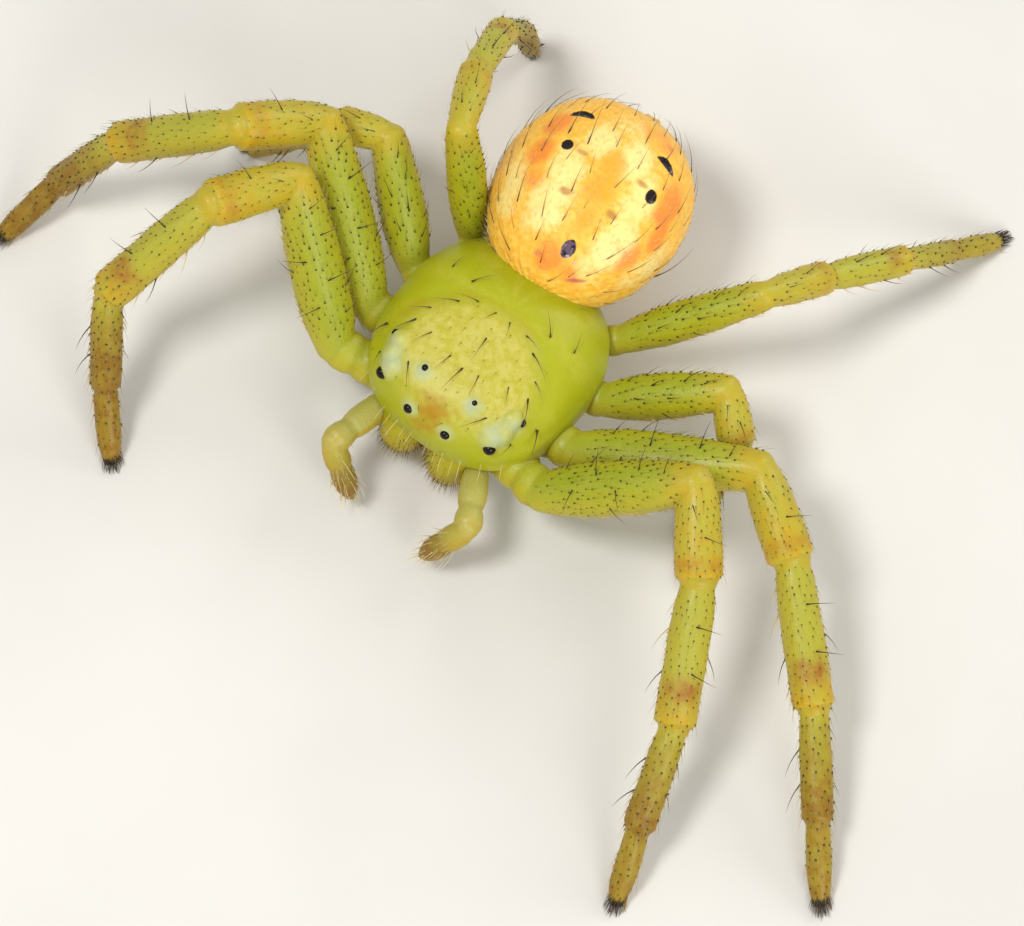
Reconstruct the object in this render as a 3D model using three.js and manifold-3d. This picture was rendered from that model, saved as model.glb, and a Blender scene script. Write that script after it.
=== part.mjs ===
// A crab spider at life size, standing on its eight legs with the front pairs held wide.
// Millimetres, +Z up. It faces -Y, so its left side is +X. The floor is z = 0.
import * as THREE from "three";
import { mergeVertices } from "three/addons/utils/BufferGeometryUtils.js";
import Module from "manifold-3d";

const wasm = await Module();
wasm.setup();

// Clearance between pieces that touch, kept in proportion to a body of 5.5 mm.
const GAP = 0.03;

// The carapace is a rounded shield, squarer at the head than at the back.
const CARAPACE = {
  centreY: 0.1,
  halfWidth: 1.42,
  frontReach: 1.6,
  backReach: 1.42,
  frontSquareness: 2.6,
  backSquareness: 2.3,
  rimZ: 1.2,
  undersideZ: 1.1,
  domeHeight: 0.92,
  frontSteepness: 2.8,
  backSteepness: 2.1,
  lipShare: 0.94,
  sides: 32,
};

// Eyes of the left side: centre of the lens, its radius, the way it looks and its white mound.
const EYES = [
  { name: "front_inner", at: [0.29, -1.39, 1.69], lens: 0.07, looks: [0.15, -0.8, 0.5], mound: 0.12 },
  { name: "front_outer", at: [0.85, -1.2, 1.68], lens: 0.085, looks: [0.5, -0.8, 0.1], mound: 0.19 },
  { name: "back_inner", at: [0.39, -0.93, 2.0], lens: 0.06, looks: [0.1, -0.3, 0.95], mound: 0.15 },
  { name: "back_outer", at: [0.99, -0.73, 1.87], lens: 0.065, looks: [0.85, 0.25, 0.35], mound: 0.15 },
];

const STERNUM = {
  halfWidth: 0.5,
  halfLength: 0.88,
  centreY: 0.02,
  bottom: 0.62,
  top: 1.07,
  sides: 20,
};
const ABDOMEN = {
  centre: [-0.12, 2.27, 1.81],
  halfWidth: 1.27,
  halfLength: 1.4,
  halfHeight: 1.05,
  yaw: 5.5,
  frontPower: 0.78,
  backPower: 0.92,
  backSwell: 0.04,
  lowerShare: 0.92,
  steps: 16,
  sides: 28,
};
const PEDICEL = { from: [0, 0.85, 0.93], to: [-0.02, 1.6, 1.05], radius: 0.16 };
const SPINNERETS = { at: [-0.24, 3.58, 1.32], base: 0.2, length: 0.3, cone: 0.07 };

// Mouthparts of the left side. The palps are posed one by one, like the legs.
const CHELICERA = { from: [0.38, -1.16, 1.12], to: [0.37, -1.3, 0.5], radius: 0.35 };
const FANG = { from: [0.33, -1.28, 0.34], middle: [0.2, -1.22, 0.24], to: [0.07, -1.15, 0.25], radius: 0.05 };
const PALP = { hip: [0.73, -1.2, 0.93], lengths: [0.98, 0.88], radii: [0.19, 0.17] };
const PALP_POSES = {
  left: [[62, 10], [134, -54]],
  right: [[80, 8], [160, -54]],
};

// Leg pairs from front to back: where the coxa starts, the hip, then the lengths and radii of
// femur, patella, tibia, metatarsus and tarsus.
const LEG_PAIRS = [
  {
    coxa: [0.62, -0.76, 0.84],
    hip: [1.64, -1.09, 1.16],
    lengths: [2.38, 1.23, 1.87, 1.4, 0.99],
    radii: [0.355, 0.31, 0.275, 0.21, 0.165],
  },
  {
    coxa: [0.8, -0.25, 0.84],
    hip: [1.64, -0.385, 1.2],
    lengths: [2.5, 1.22, 1.9, 1.44, 1.02],
    radii: [0.355, 0.31, 0.275, 0.21, 0.165],
  },
  {
    coxa: [0.8, 0.32, 0.84],
    hip: [1.55, 0.45, 1.16],
    lengths: [1.7, 0.7, 1.0, 0.7, 0.6],
    radii: [0.3, 0.245, 0.21, 0.17, 0.14],
  },
  {
    coxa: [0.62, 0.85, 0.84],
    hip: [1.2, 1.28, 1.12],
    lengths: [2.1, 1.12, 1.3, 1.08, 0.9],
    radii: [0.26, 0.225, 0.205, 0.16, 0.145],
  },
];

// Each pose lists [bearing, rise] in degrees for femur, patella, tibia and metatarsus, then the
// bearing of the tarsus, which comes down to the floor by itself. A bearing is 0 straight out from
// the body, 90 straight ahead and -90 straight back.
const LEG_POSES = {
  left: [
    [[-25, 37], [51, -22], [62, -26], [73, -28], 70],
    [[-24, 19], [32, -17], [43, -20], [50, -21], 49],
    [[-31, 28], [41, -26], [124, -80], [78, -39], 63],
    [[-43, 33], [-67, -29], [-60, -22], [-68, -40], -66],
  ],
  right: [
    [[-32.5, 43.5], [60, 10], [68, -40], [128, -53], 135],
    [[-34, 35], [51, 18], [27, -38], [41, -60], 74],
    [[-38, 35], [20, -6], [8, -64], [10, -62], 17],
    [[-28, 71], [-67, -23], [-77, -38], [-98, -61], -98],
  ],
};

const LEG_SIDES = 10;
const CAP_REACH = 0.75;
const COXA_TAPER = 0.84;
const TIP_HEIGHT = 0.045;
const FLOOR_CUT = 2;
const CLAW = { rootAhead: 0.09, reach: 0.1, rise: 0.014, radius: 0.035, spread: 0.05, sides: 5 };

// Stout spines of a leg segment: share of its length, turn from its upper side towards the head,
// length, and heading from the way to the foot towards the head, with both angles in degrees.
// SPINE_COUNTS says how many each pair of legs carries, SPINE_SWEEP how far it follows the headings.
const LEG_SPINES = {
  femur: [[0.44, -6, 0.4, -78], [0.7, -14, 0.4, -66], [0.3, 24, 0.34, 100], [0.57, 30, 0.36, 70]],
  patella: [[0.55, -10, 0.34, -70]],
  tibia: [[0.3, -12, 0.4, -75], [0.62, -20, 0.38, -75], [0.34, 105, 0.42, -20], [0.64, 98, 0.36, 0]],
  metatarsus: [[0.35, 95, 0.42, 0], [0.66, 98, 0.4, 0]],
};
const SPINE_COUNTS = {
  femur: [4, 2, 2, 2],
  patella: [1, 1, 0, 0],
  tibia: [4, 4, 2, 2],
  metatarsus: [2, 2, 0, 0],
};
const SPINE_SWEEP = [1, 1, 0, 0];
const SPINE = { radius: 0.022, sink: 0.1, lean: 48, waist: 0.5, waistShare: 0.7, sides: 3 };

// Long bristles of the left half of the body. On the carapace they ring the head, on a bearing
// from straight ahead at a share of the way to the rim. On the abdomen they lie in rows along it,
// at degrees from its front and from its ridge.
const HEAD_BRISTLES = { bearings: [78, 106, 134, 162], share: 0.6, length: 0.34, lean: 60 };
const ABDOMEN_BRISTLES = { arcs: [52, 84, 116], turns: [14, 42, 66], length: 0.55, lean: 68 };

// Outlines of the leg segments: [share of the length, share of the radius].
const SHAPES = {
  coxa: [[0, 0.8], [0.35, 1], [0.65, 1], [0.85, 0.82], [1, 0.84]],
  femur: [[0, 0.72], [0.12, 0.86], [0.35, 1], [0.6, 0.98], [0.82, 0.87], [1, 0.7]],
  patella: [[0, 0.72], [0.3, 0.92], [0.75, 1], [1, 0.82]],
  tibia: [[0, 0.78], [0.15, 0.95], [0.5, 1], [0.85, 0.97], [1, 0.76]],
  metatarsus: [[0, 0.8], [0.12, 0.98], [0.55, 1], [0.88, 0.97], [1, 0.78]],
  tarsus: [[0, 0.85], [0.15, 1], [0.7, 0.95], [1, 0.66]],
  palp: [[0, 0.7], [0.25, 0.95], [0.7, 1], [1, 0.8]],
  palpTip: [[0, 0.85], [0.35, 1], [0.7, 0.95], [1, 0.5]],
  chelicera: [[0, 0.9], [0.4, 1], [0.8, 0.94], [1, 0.76]],
  spinneret: [[0, 1], [1, 0.8]],
  cone: [[0, 1], [0.45, 0.75], [1, 0.16]],
};

const COLOURS = {
  green: [0.62, 0.66, 0.12],
  leg: [0.66, 0.64, 0.2],
  foot: [0.62, 0.47, 0.16],
  orange: [0.9, 0.62, 0.25],
  pale: [0.78, 0.72, 0.45],
  dark: [0.04, 0.025, 0.02],
};

const vec = (p) => new THREE.Vector3(...p);
const mirrored = (p, side) => new THREE.Vector3(side * p[0], p[1], p[2]);

// A closed geometry as a solid.
function solid(geometry) {
  geometry.deleteAttribute("normal");
  geometry.deleteAttribute("uv");
  const merged = mergeVertices(geometry, 1e-4);
  return new wasm.Manifold(
    new wasm.Mesh({
      numProp: 3,
      vertProperties: new Float32Array(merged.attributes.position.array),
      triVerts: new Uint32Array(merged.index.array),
    }),
  );
}

// The largest closed surface of a solid, without what a cut left over.
function largest(body) {
  return body.decompose().reduce((a, b) => (b.volume() > a.volume() ? b : a));
}

const joined = (bodies) => bodies.reduce((a, b) => a.add(b));
const cut = (body, ...others) => others.reduce((a, b) => a.subtract(b), body);

// A turned tube from one point to another, with a rounded cap past each end.
function tube(from, to, radius, shape, { grow = 0, sides = LEG_SIDES, round = true } = {}) {
  const length = from.distanceTo(to);
  const wall = shape.map(([t, share]) => [t * length, share * radius + grow]);
  const cap = (y, r, way) => {
    const pole = [y + way * CAP_REACH * r, 0];
    const shoulder = [y + way * CAP_REACH * r * Math.SQRT1_2, r * Math.SQRT1_2];
    return round ? [shoulder, pole] : [pole];
  };
  const profile = [
    ...cap(...wall[0], -1).reverse(),
    ...wall,
    ...cap(...wall[wall.length - 1], 1),
  ].map(([y, r]) => new THREE.Vector2(r, y));
  const geometry = new THREE.LatheGeometry(profile, sides);
  const way = to.clone().sub(from).normalize();
  geometry.applyQuaternion(new THREE.Quaternion().setFromUnitVectors(new THREE.Vector3(0, 1, 0), way));
  geometry.translate(from.x, from.y, from.z);
  return solid(geometry);
}

// A slender spine rooted a little below a surface point, leaning from out towards along.
function spine(root, out, along, length, lean) {
  const tilt = THREE.MathUtils.degToRad(lean);
  const way = out.clone().multiplyScalar(Math.cos(tilt)).addScaledVector(along, Math.sin(tilt));
  const foot = root.clone().addScaledVector(out, -SPINE.sink);
  const tip = root.clone().addScaledVector(way, length);
  const waist = SPINE.waistShare * SPINE.radius;
  const whole = foot.distanceTo(tip);
  const profile = [[0, 0], [SPINE.radius, 0], [waist, SPINE.waist * whole], [0, whole]];
  const geometry = new THREE.LatheGeometry(profile.map(([r, y]) => new THREE.Vector2(r, y)), SPINE.sides);
  const axis = tip.sub(foot).normalize();
  geometry.applyQuaternion(new THREE.Quaternion().setFromUnitVectors(new THREE.Vector3(0, 1, 0), axis));
  geometry.translate(foot.x, foot.y, foot.z);
  return solid(geometry);
}

// A closed shell of rings between two poles. at(turn, step) gives the point of ring step.
function rings(sides, steps, at) {
  const points = [at(0, 0)];
  for (let step = 1; step < steps; step += 1) {
    for (let side = 0; side < sides; side += 1) points.push(at((side / sides) * Math.PI * 2, step));
  }
  points.push(at(0, steps));
  const index = [];
  const ring = (step, side) => 1 + (step - 1) * sides + (side % sides);
  const last = points.length - 1;
  for (let side = 0; side < sides; side += 1) {
    index.push(0, ring(1, side), ring(1, side + 1));
    index.push(last, ring(steps - 1, side + 1), ring(steps - 1, side));
    for (let step = 1; step < steps - 1; step += 1) {
      const [a, b] = [ring(step, side), ring(step, side + 1)];
      const [c, d] = [ring(step + 1, side), ring(step + 1, side + 1)];
      index.push(a, c, b, b, c, d);
    }
  }
  const geometry = new THREE.BufferGeometry();
  geometry.setAttribute("position", new THREE.Float32BufferAttribute(points.flat(), 3));
  geometry.setIndex(index);
  return solid(geometry);
}

function ellipsoid(centre, [x, y, z], sides = 16) {
  const geometry = new THREE.SphereGeometry(1, sides, Math.round(sides * 0.6));
  geometry.rotateX(Math.PI / 2);
  geometry.scale(x, y, z);
  geometry.translate(...centre);
  return solid(geometry);
}

// Distance from the middle of the carapace to its rim, on a bearing counted from +X.
function rimReach(turn) {
  const ahead = Math.sin(turn) < 0;
  const reach = ahead ? CARAPACE.frontReach : CARAPACE.backReach;
  const power = ahead ? CARAPACE.frontSquareness : CARAPACE.backSquareness;
  const across = Math.abs(Math.cos(turn)) / CARAPACE.halfWidth;
  const along = Math.abs(Math.sin(turn)) / reach;
  return (across ** power + along ** power) ** (-1 / power);
}

// The dome over the rim: steep at the face, rounder behind.
function domeZ(turn, share) {
  const ahead = (1 - Math.sin(turn)) / 2;
  const power = THREE.MathUtils.lerp(CARAPACE.backSteepness, CARAPACE.frontSteepness, ahead);
  return CARAPACE.rimZ + CARAPACE.domeHeight * Math.max(0, 1 - share ** power) ** (1 / power);
}

function carapaceShield(grow = 0) {
  const shares = [0, 0.2, 0.4, 0.57, 0.71, 0.82, 0.91, 0.97, 1];
  const underside = [CARAPACE.lipShare, 0.5, 0];
  const all = [...shares, ...underside];
  return rings(CARAPACE.sides, all.length - 1, (turn, step) => {
    const share = all[step];
    const reach = (rimReach(turn) + grow) * share;
    const top = step < shares.length;
    const z = top ? domeZ(turn, share) + grow : CARAPACE.undersideZ - grow;
    return [reach * Math.cos(turn), CARAPACE.centreY + reach * Math.sin(turn), z];
  });
}

// The white mound that carries one lens, leaning the way the lens looks.
function eyeMound(eye, side) {
  const looks = mirrored(eye.looks, side).normalize();
  const centre = mirrored(eye.at, side).addScaledVector(looks, 0.4 * eye.lens - eye.mound);
  return ellipsoid(centre.toArray(), [eye.mound, eye.mound, eye.mound], 10);
}

function eyeLens(eye, side, grow = 0) {
  const radius = eye.lens + grow;
  return ellipsoid(mirrored(eye.at, side).toArray(), [radius, radius, radius], 10);
}

// The shield of the carapace with the mounds of the eyes, and a socket for each lens.
function carapace() {
  const sides = [1, -1];
  const mounds = EYES.flatMap((eye) => sides.map((side) => eyeMound(eye, side)));
  const sockets = EYES.flatMap((eye) => sides.map((side) => eyeLens(eye, side, GAP)));
  return cut(joined([carapaceShield(), ...mounds, ...headBristles()]), ...sockets);
}

function sternum(grow = 0) {
  const rise = [0, 0, 0.35, 0.73, 1, 1];
  const shares = [0, 0.7, 0.95, 1, 0.96, 0];
  return rings(STERNUM.sides, shares.length - 1, (turn, step) => [
    (STERNUM.halfWidth + grow) * shares[step] * Math.sin(turn),
    STERNUM.centreY + (STERNUM.halfLength + grow) * shares[step] * Math.cos(turn),
    THREE.MathUtils.lerp(STERNUM.bottom - grow, STERNUM.top + grow, rise[step]),
  ]);
}

// A point of the abdomen, an egg that is widest a little behind its middle and flatter below.
function abdomenPoint(turn, arc, grow) {
  const { frontPower, backPower, backSwell } = ABDOMEN;
  const yaw = THREE.MathUtils.degToRad(ABDOMEN.yaw);
  const power = THREE.MathUtils.lerp(frontPower, backPower, arc / Math.PI);
  const round = Math.sin(arc) ** power * (1 - backSwell * Math.cos(arc));
  const along = -Math.cos(arc) * (ABDOMEN.halfLength + grow);
  const x = (ABDOMEN.halfWidth + grow) * round * Math.cos(turn);
  const lower = Math.sin(turn) < 0 ? ABDOMEN.lowerShare : 1;
  const z = (ABDOMEN.halfHeight + grow) * round * lower * Math.sin(turn);
  return [
    ABDOMEN.centre[0] + x * Math.cos(yaw) - along * Math.sin(yaw),
    ABDOMEN.centre[1] + along * Math.cos(yaw) + x * Math.sin(yaw),
    ABDOMEN.centre[2] + z,
  ];
}

function abdomenEgg(grow = 0) {
  return rings(ABDOMEN.sides, ABDOMEN.steps, (turn, step) =>
    abdomenPoint(turn, (step / ABDOMEN.steps) * Math.PI, grow),
  );
}

// Bristles on both halves of a surface. place(side, u, v) gives a point of it.
function bristleRows(place, us, vs, nudge, length, lean) {
  return [1, -1].flatMap((side) =>
    us.flatMap((u) =>
      vs.map((v) => {
        const root = place(side, u, v);
        const along = place(side, u + nudge[0], v + nudge[1]).sub(root).normalize();
        const across = place(side, u + nudge[1], v - nudge[0]).sub(root);
        const out = new THREE.Vector3().crossVectors(along, across).normalize();
        if (out.z < 0) out.negate();
        return spine(root, out, along, length, lean);
      }),
    ),
  );
}

function abdomenBristles() {
  const { arcs, turns, length, lean } = ABDOMEN_BRISTLES;
  const rad = THREE.MathUtils.degToRad;
  const place = (side, arc, turn) => vec(abdomenPoint(Math.PI / 2 - side * rad(turn), rad(arc), 0));
  return bristleRows(place, arcs, turns, [1, 0], length, lean);
}

function headBristles() {
  const { bearings, share, length, lean } = HEAD_BRISTLES;
  const place = (side, bearing, at) => {
    const turn = -Math.PI / 2 + side * THREE.MathUtils.degToRad(bearing);
    const reach = at * rimReach(turn);
    return vec([reach * Math.cos(turn), CARAPACE.centreY + reach * Math.sin(turn), domeZ(turn, at)]);
  };
  return bristleRows(place, bearings, [share], [0, -0.01], length, lean);
}

// A chain of points from the hip, one for each [bearing, rise] and length.
function chain(start, angles, lengths, side) {
  const points = [start];
  angles.forEach(([bearing, rise], i) => {
    const [b, r] = [THREE.MathUtils.degToRad(bearing), THREE.MathUtils.degToRad(rise)];
    const flat = Math.cos(r);
    const way = new THREE.Vector3(side * Math.cos(b) * flat, -Math.sin(b) * flat, Math.sin(r));
    points.push(points[i].clone().addScaledVector(way, lengths[i]));
  });
  return points;
}

// The rise that brings the last segment down to the floor.
function risesToFloor(height, length) {
  return THREE.MathUtils.radToDeg(Math.asin((TIP_HEIGHT - height) / length));
}

// Joints of one leg: hip, knee, end of patella, end of tibia, ankle and tip.
function legJoints(pair, pose, side) {
  const upper = chain(mirrored(pair.hip, side), pose.slice(0, 4), pair.lengths, side);
  const ankle = upper[4];
  const down = risesToFloor(ankle.z, pair.lengths[4]);
  const [, tip] = chain(ankle, [[pose[4], down]], [pair.lengths[4]], side);
  return [...upper, tip];
}

// Two hooked claws that rise from one root at the tip of the foot.
function claws(ankle, tip) {
  const ahead = tip.clone().sub(ankle).setZ(0).normalize();
  const across = new THREE.Vector3(-ahead.y, ahead.x, 0);
  const root = tip.clone().addScaledVector(ahead, CLAW.rootAhead);
  root.z = CLAW.rootAhead;
  const hooks = [-1, 1].map((way) => {
    const top = root.clone().addScaledVector(ahead, CLAW.reach).addScaledVector(across, way * CLAW.spread);
    top.z += CLAW.rise;
    return tube(root, top, CLAW.radius, SHAPES.cone, { sides: CLAW.sides, round: false });
  });
  return joined(hooks);
}

const spider = new THREE.Group();

function addNode(name, body, colour, roughness = 0.5) {
  const mesh = largest(body).getMesh();
  const geometry = new THREE.BufferGeometry();
  geometry.setAttribute("position", new THREE.BufferAttribute(mesh.vertProperties, 3));
  geometry.setIndex(new THREE.BufferAttribute(mesh.triVerts, 1));
  geometry.computeVertexNormals();
  const material = new THREE.MeshStandardMaterial({ roughness, metalness: 0 });
  material.color.setRGB(...colour);
  const node = new THREE.Mesh(geometry, material);
  node.name = name;
  spider.add(node);
}

// The radius of a shape at a share of its length.
function radiusAt(shape, radius, at) {
  const after = Math.max(1, shape.findIndex(([t]) => t >= at));
  const [[t0, r0], [t1, r1]] = [shape[after - 1], shape[after]];
  return radius * THREE.MathUtils.mapLinear(at, t0, t1, r0, r1);
}

// The spines of one segment, from one joint to the next.
function segmentSpines(name, from, to, radius, count, sweep) {
  const along = to.clone().sub(from).normalize();
  const up = new THREE.Vector3(0, 0, 1).addScaledVector(along, -along.z).normalize();
  const ahead = new THREE.Vector3().crossVectors(along, up);
  if (ahead.y > 0) ahead.negate();
  return LEG_SPINES[name].slice(0, count).map(([share, degrees, length, headingDegrees]) => {
    const turn = THREE.MathUtils.degToRad(degrees);
    const heading = THREE.MathUtils.degToRad(headingDegrees) * sweep;
    const out = up.clone().multiplyScalar(Math.cos(turn)).addScaledVector(ahead, Math.sin(turn));
    const round = ahead.clone().multiplyScalar(Math.cos(turn)).addScaledVector(up, -Math.sin(turn));
    const lie = along.clone().multiplyScalar(Math.cos(heading)).addScaledVector(round, Math.sin(heading));
    const root = from.clone().lerp(to, share).addScaledVector(out, radiusAt(SHAPES[name], radius, share));
    return spine(root, out, lie, length, SPINE.lean);
  });
}

// Coxa and trochanter run out from under the shield to the hip, and the femur rises from there.
function upperLeg(pair, joints, side, grow = 0) {
  const [hip, knee] = joints;
  const coxaRadius = COXA_TAPER * pair.radii[0];
  const coxa = tube(mirrored(pair.coxa, side), hip, coxaRadius, SHAPES.coxa, { grow });
  return coxa.add(tube(hip, knee, pair.radii[0], SHAPES.femur, { grow }));
}

function middleLeg(pair, joints, grow = 0) {
  const patella = tube(joints[1], joints[2], pair.radii[1], SHAPES.patella, { grow });
  return patella.add(tube(joints[2], joints[3], pair.radii[2], SHAPES.tibia, { grow }));
}

// Metatarsus and tarsus, cut flat where the tip stands on the floor.
function foot(pair, joints, grow = 0) {
  const metatarsus = tube(joints[3], joints[4], pair.radii[3], SHAPES.metatarsus, { grow });
  const tarsus = tube(joints[4], joints[5], pair.radii[4], SHAPES.tarsus, { grow });
  const below = new THREE.BoxGeometry(FLOOR_CUT, FLOOR_CUT, FLOOR_CUT);
  below.translate(joints[5].x, joints[5].y, -FLOOR_CUT / 2 - grow);
  return metatarsus.add(tarsus).subtract(solid(below));
}

function addLeg(number, sideName) {
  const side = sideName === "left" ? 1 : -1;
  const pair = LEG_PAIRS[number - 1];
  const joints = legJoints(pair, LEG_POSES[sideName][number - 1], side);
  const name = `leg_${number}_${sideName}`;
  const segments = ["femur", "patella", "tibia", "metatarsus"];
  const sweep = SPINE_SWEEP[number - 1];
  const [femurSpines, patellaSpines, tibiaSpines, footSpines] = segments.map((segment, i) => {
    const count = SPINE_COUNTS[segment][number - 1];
    return segmentSpines(segment, joints[i], joints[i + 1], pair.radii[i], count, sweep);
  });
  const upper = cut(upperLeg(pair, joints, side), shieldGrown, chelicera(side, GAP));
  const middle = cut(middleLeg(pair, joints), upperLeg(pair, joints, side, GAP));
  const lower = cut(foot(pair, joints), middleLeg(pair, joints, GAP));
  addNode(`${name}_femur`, joined([upper, ...femurSpines]), COLOURS.leg);
  addNode(`${name}_tibia`, joined([middle, ...patellaSpines, ...tibiaSpines]), COLOURS.leg);
  addNode(`${name}_foot`, joined([lower, ...footSpines]), COLOURS.foot);
  addNode(`${name}_claws`, cut(claws(joints[4], joints[5]), foot(pair, joints, GAP)), COLOURS.dark, 0.4);
}

function addPalp(sideName) {
  const side = sideName === "left" ? 1 : -1;
  const [start, elbow, tip] = chain(mirrored(PALP.hip, side), PALP_POSES[sideName], PALP.lengths, side);
  const [upperRadius, lowerRadius] = PALP.radii;
  const upper = (grow) => tube(start, elbow, upperRadius, SHAPES.palp, { grow });
  const lower = tube(elbow, tip, lowerRadius, SHAPES.palpTip);
  const femur = cut(upper(0), shieldGrown, chelicera(side, GAP));
  addNode(`palp_${sideName}_femur`, femur, COLOURS.pale);
  addNode(`palp_${sideName}_tip`, cut(lower, upper(GAP)), COLOURS.pale);
}

function chelicera(side, grow = 0) {
  const [from, to] = [mirrored(CHELICERA.from, side), mirrored(CHELICERA.to, side)];
  return tube(from, to, CHELICERA.radius, SHAPES.chelicera, { grow });
}

function fang(side) {
  const [from, middle, to] = [FANG.from, FANG.middle, FANG.to].map((p) => mirrored(p, side));
  const base = tube(from, middle, FANG.radius, [[0, 1], [1, 0.8]], { sides: 8 });
  return base.add(tube(middle, to, 0.8 * FANG.radius, SHAPES.cone, { sides: 8 }));
}

function spinnerets() {
  const yaw = THREE.MathUtils.degToRad(ABDOMEN.yaw);
  const back = new THREE.Vector3(-Math.sin(yaw), Math.cos(yaw), -0.35).normalize();
  const root = vec(SPINNERETS.at);
  const end = root.clone().addScaledVector(back, SPINNERETS.length);
  const base = tube(root, end, SPINNERETS.base, SHAPES.spinneret);
  const cones = [-1, 1].flatMap((x) =>
    [-1, 1].map((z) => {
      const from = end.clone().add(new THREE.Vector3(x * SPINNERETS.cone, 0, z * SPINNERETS.cone));
      const to = from.clone().addScaledVector(back, SPINNERETS.length);
      return tube(from, to, SPINNERETS.cone, SHAPES.cone, { sides: 6, round: false });
    }),
  );
  return joined([base, ...cones]);
}

function pedicel() {
  return tube(vec(PEDICEL.from), vec(PEDICEL.to), PEDICEL.radius, SHAPES.coxa);
}

const shieldGrown = carapaceShield(GAP);
const sternumGrown = sternum(GAP);
const abdomen = joined([cut(abdomenEgg(), shieldGrown), ...abdomenBristles()]);
const abdomenGrown = abdomenEgg(GAP);

addNode("carapace", carapace(), COLOURS.green, 0.35);
addNode("sternum", sternum(), COLOURS.pale);
addNode("abdomen", abdomen, COLOURS.orange);
addNode("pedicel", cut(pedicel(), sternumGrown, abdomenGrown, shieldGrown), COLOURS.pale);
addNode("spinnerets", cut(spinnerets(), abdomenGrown), COLOURS.pale);
for (const [sideName, side] of [["left", 1], ["right", -1]]) {
  for (const eye of EYES) addNode(`eye_${eye.name}_${sideName}`, eyeLens(eye, side), COLOURS.dark, 0.1);
  addNode(`chelicera_${sideName}`, cut(chelicera(side), shieldGrown), COLOURS.green);
  addNode(`fang_${sideName}`, cut(fang(side), chelicera(side, GAP)), COLOURS.dark, 0.3);
  addPalp(sideName);
  for (const number of [1, 2, 3, 4]) addLeg(number, sideName);
}

// The origin is the middle of the floor under the whole spider.
const middle = new THREE.Box3().setFromObject(spider).getCenter(new THREE.Vector3());
spider.position.set(-middle.x, -middle.y, 0);

const model = new THREE.Group();
model.add(spider);

export default model;
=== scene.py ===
"""A life-size crab spider for a showcase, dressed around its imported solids.

The spider faces -Y and its left side is +X. Every shape is built in millimetres in the body's own
frame, where x = 0 is the midline, and is set into the part's frame, in metres, as its last step.
"""

import logging
import math
from dataclasses import dataclass, field
from enum import Enum
from typing import Any, Callable, Iterable, Sequence

import bpy
import numpy as np
from mathutils import Matrix, Vector


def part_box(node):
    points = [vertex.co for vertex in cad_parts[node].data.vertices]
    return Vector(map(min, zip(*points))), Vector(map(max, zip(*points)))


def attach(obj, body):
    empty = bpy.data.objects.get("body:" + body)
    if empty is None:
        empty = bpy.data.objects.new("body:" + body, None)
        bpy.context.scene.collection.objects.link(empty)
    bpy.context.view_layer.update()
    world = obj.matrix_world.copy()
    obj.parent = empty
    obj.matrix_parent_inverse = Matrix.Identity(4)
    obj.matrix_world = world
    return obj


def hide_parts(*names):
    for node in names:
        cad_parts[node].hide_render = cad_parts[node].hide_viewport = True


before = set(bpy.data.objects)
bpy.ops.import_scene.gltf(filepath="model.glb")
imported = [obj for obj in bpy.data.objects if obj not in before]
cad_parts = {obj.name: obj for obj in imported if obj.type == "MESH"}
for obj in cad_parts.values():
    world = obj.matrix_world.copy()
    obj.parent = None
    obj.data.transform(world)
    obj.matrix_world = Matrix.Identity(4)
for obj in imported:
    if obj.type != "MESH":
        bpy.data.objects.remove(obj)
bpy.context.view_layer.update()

log = logging.getLogger("crab_spider")

METRES_PER_MM = 0.001
BODY = "root"
SEED = 7

Point = tuple[float, float, float]
Outline = Sequence[tuple[float, float]]


# Places and sizes of the body, in millimetres


class Side(Enum):
    """The two sides of the body, with the sign of x on each."""

    LEFT = 1
    RIGHT = -1

    @property
    def word(self) -> str:
        """The side's name as the pieces carry it."""
        return self.name.lower()

    @property
    def shade(self) -> float:
        """How far the feet of the side are browned: the right side's feet more, as painted shade."""
        return 1.0 if self is Side.LEFT else 1.35

    def of(self, point: Point) -> np.ndarray:
        """A point of the left side, mirrored where this is the right one."""
        return np.array([self.value * point[0], point[1], point[2]], float)

    def way(self, bearing: float, rise: float) -> np.ndarray:
        """The direction of a bearing from straight out and a rise, both in degrees."""
        b, r = math.radians(bearing), math.radians(rise)
        return np.array([self.value * math.cos(b) * math.cos(r), -math.sin(b) * math.cos(r), math.sin(r)])


class Segment(Enum):
    """The segments of a leg, from the body to the tip, with the outline of each one.

    An outline lists shares of the length and of the radius.
    """

    COXA = ((0, 0.8), (0.3, 1), (0.6, 1), (0.72, 0.84), (0.8, 0.95), (0.92, 0.93), (1, 0.8))
    FEMUR = ((0, 0.72), (0.12, 0.87), (0.35, 1), (0.6, 0.98), (0.82, 0.87), (0.94, 0.8), (1, 0.72))
    PATELLA = ((0, 0.72), (0.12, 0.84), (0.4, 0.96), (0.75, 1.01), (0.95, 1.0), (0.985, 0.95), (1, 0.8))
    TIBIA = ((0, 0.74), (0.06, 0.84), (0.2, 0.95), (0.55, 1), (0.85, 1), (0.965, 1), (0.99, 0.94), (1, 0.76))
    METATARSUS = ((0, 0.78), (0.08, 0.9), (0.25, 0.97), (0.6, 1), (0.9, 1), (0.97, 0.98), (1, 0.78))
    TARSUS = ((0, 0.84), (0.12, 0.96), (0.45, 1), (0.8, 0.9), (1, 0.64))

    @property
    def number(self) -> int:
        """Its place in the leg, from 0 at the body."""
        return list(Segment).index(self)


@dataclass(frozen=True)
class LegPair:
    """One pair of legs: where it leaves the body, and the sizes of femur to tarsus."""

    coxa: Point
    hip: Point
    lengths: tuple[float, ...]
    radii: tuple[float, ...]


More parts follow.
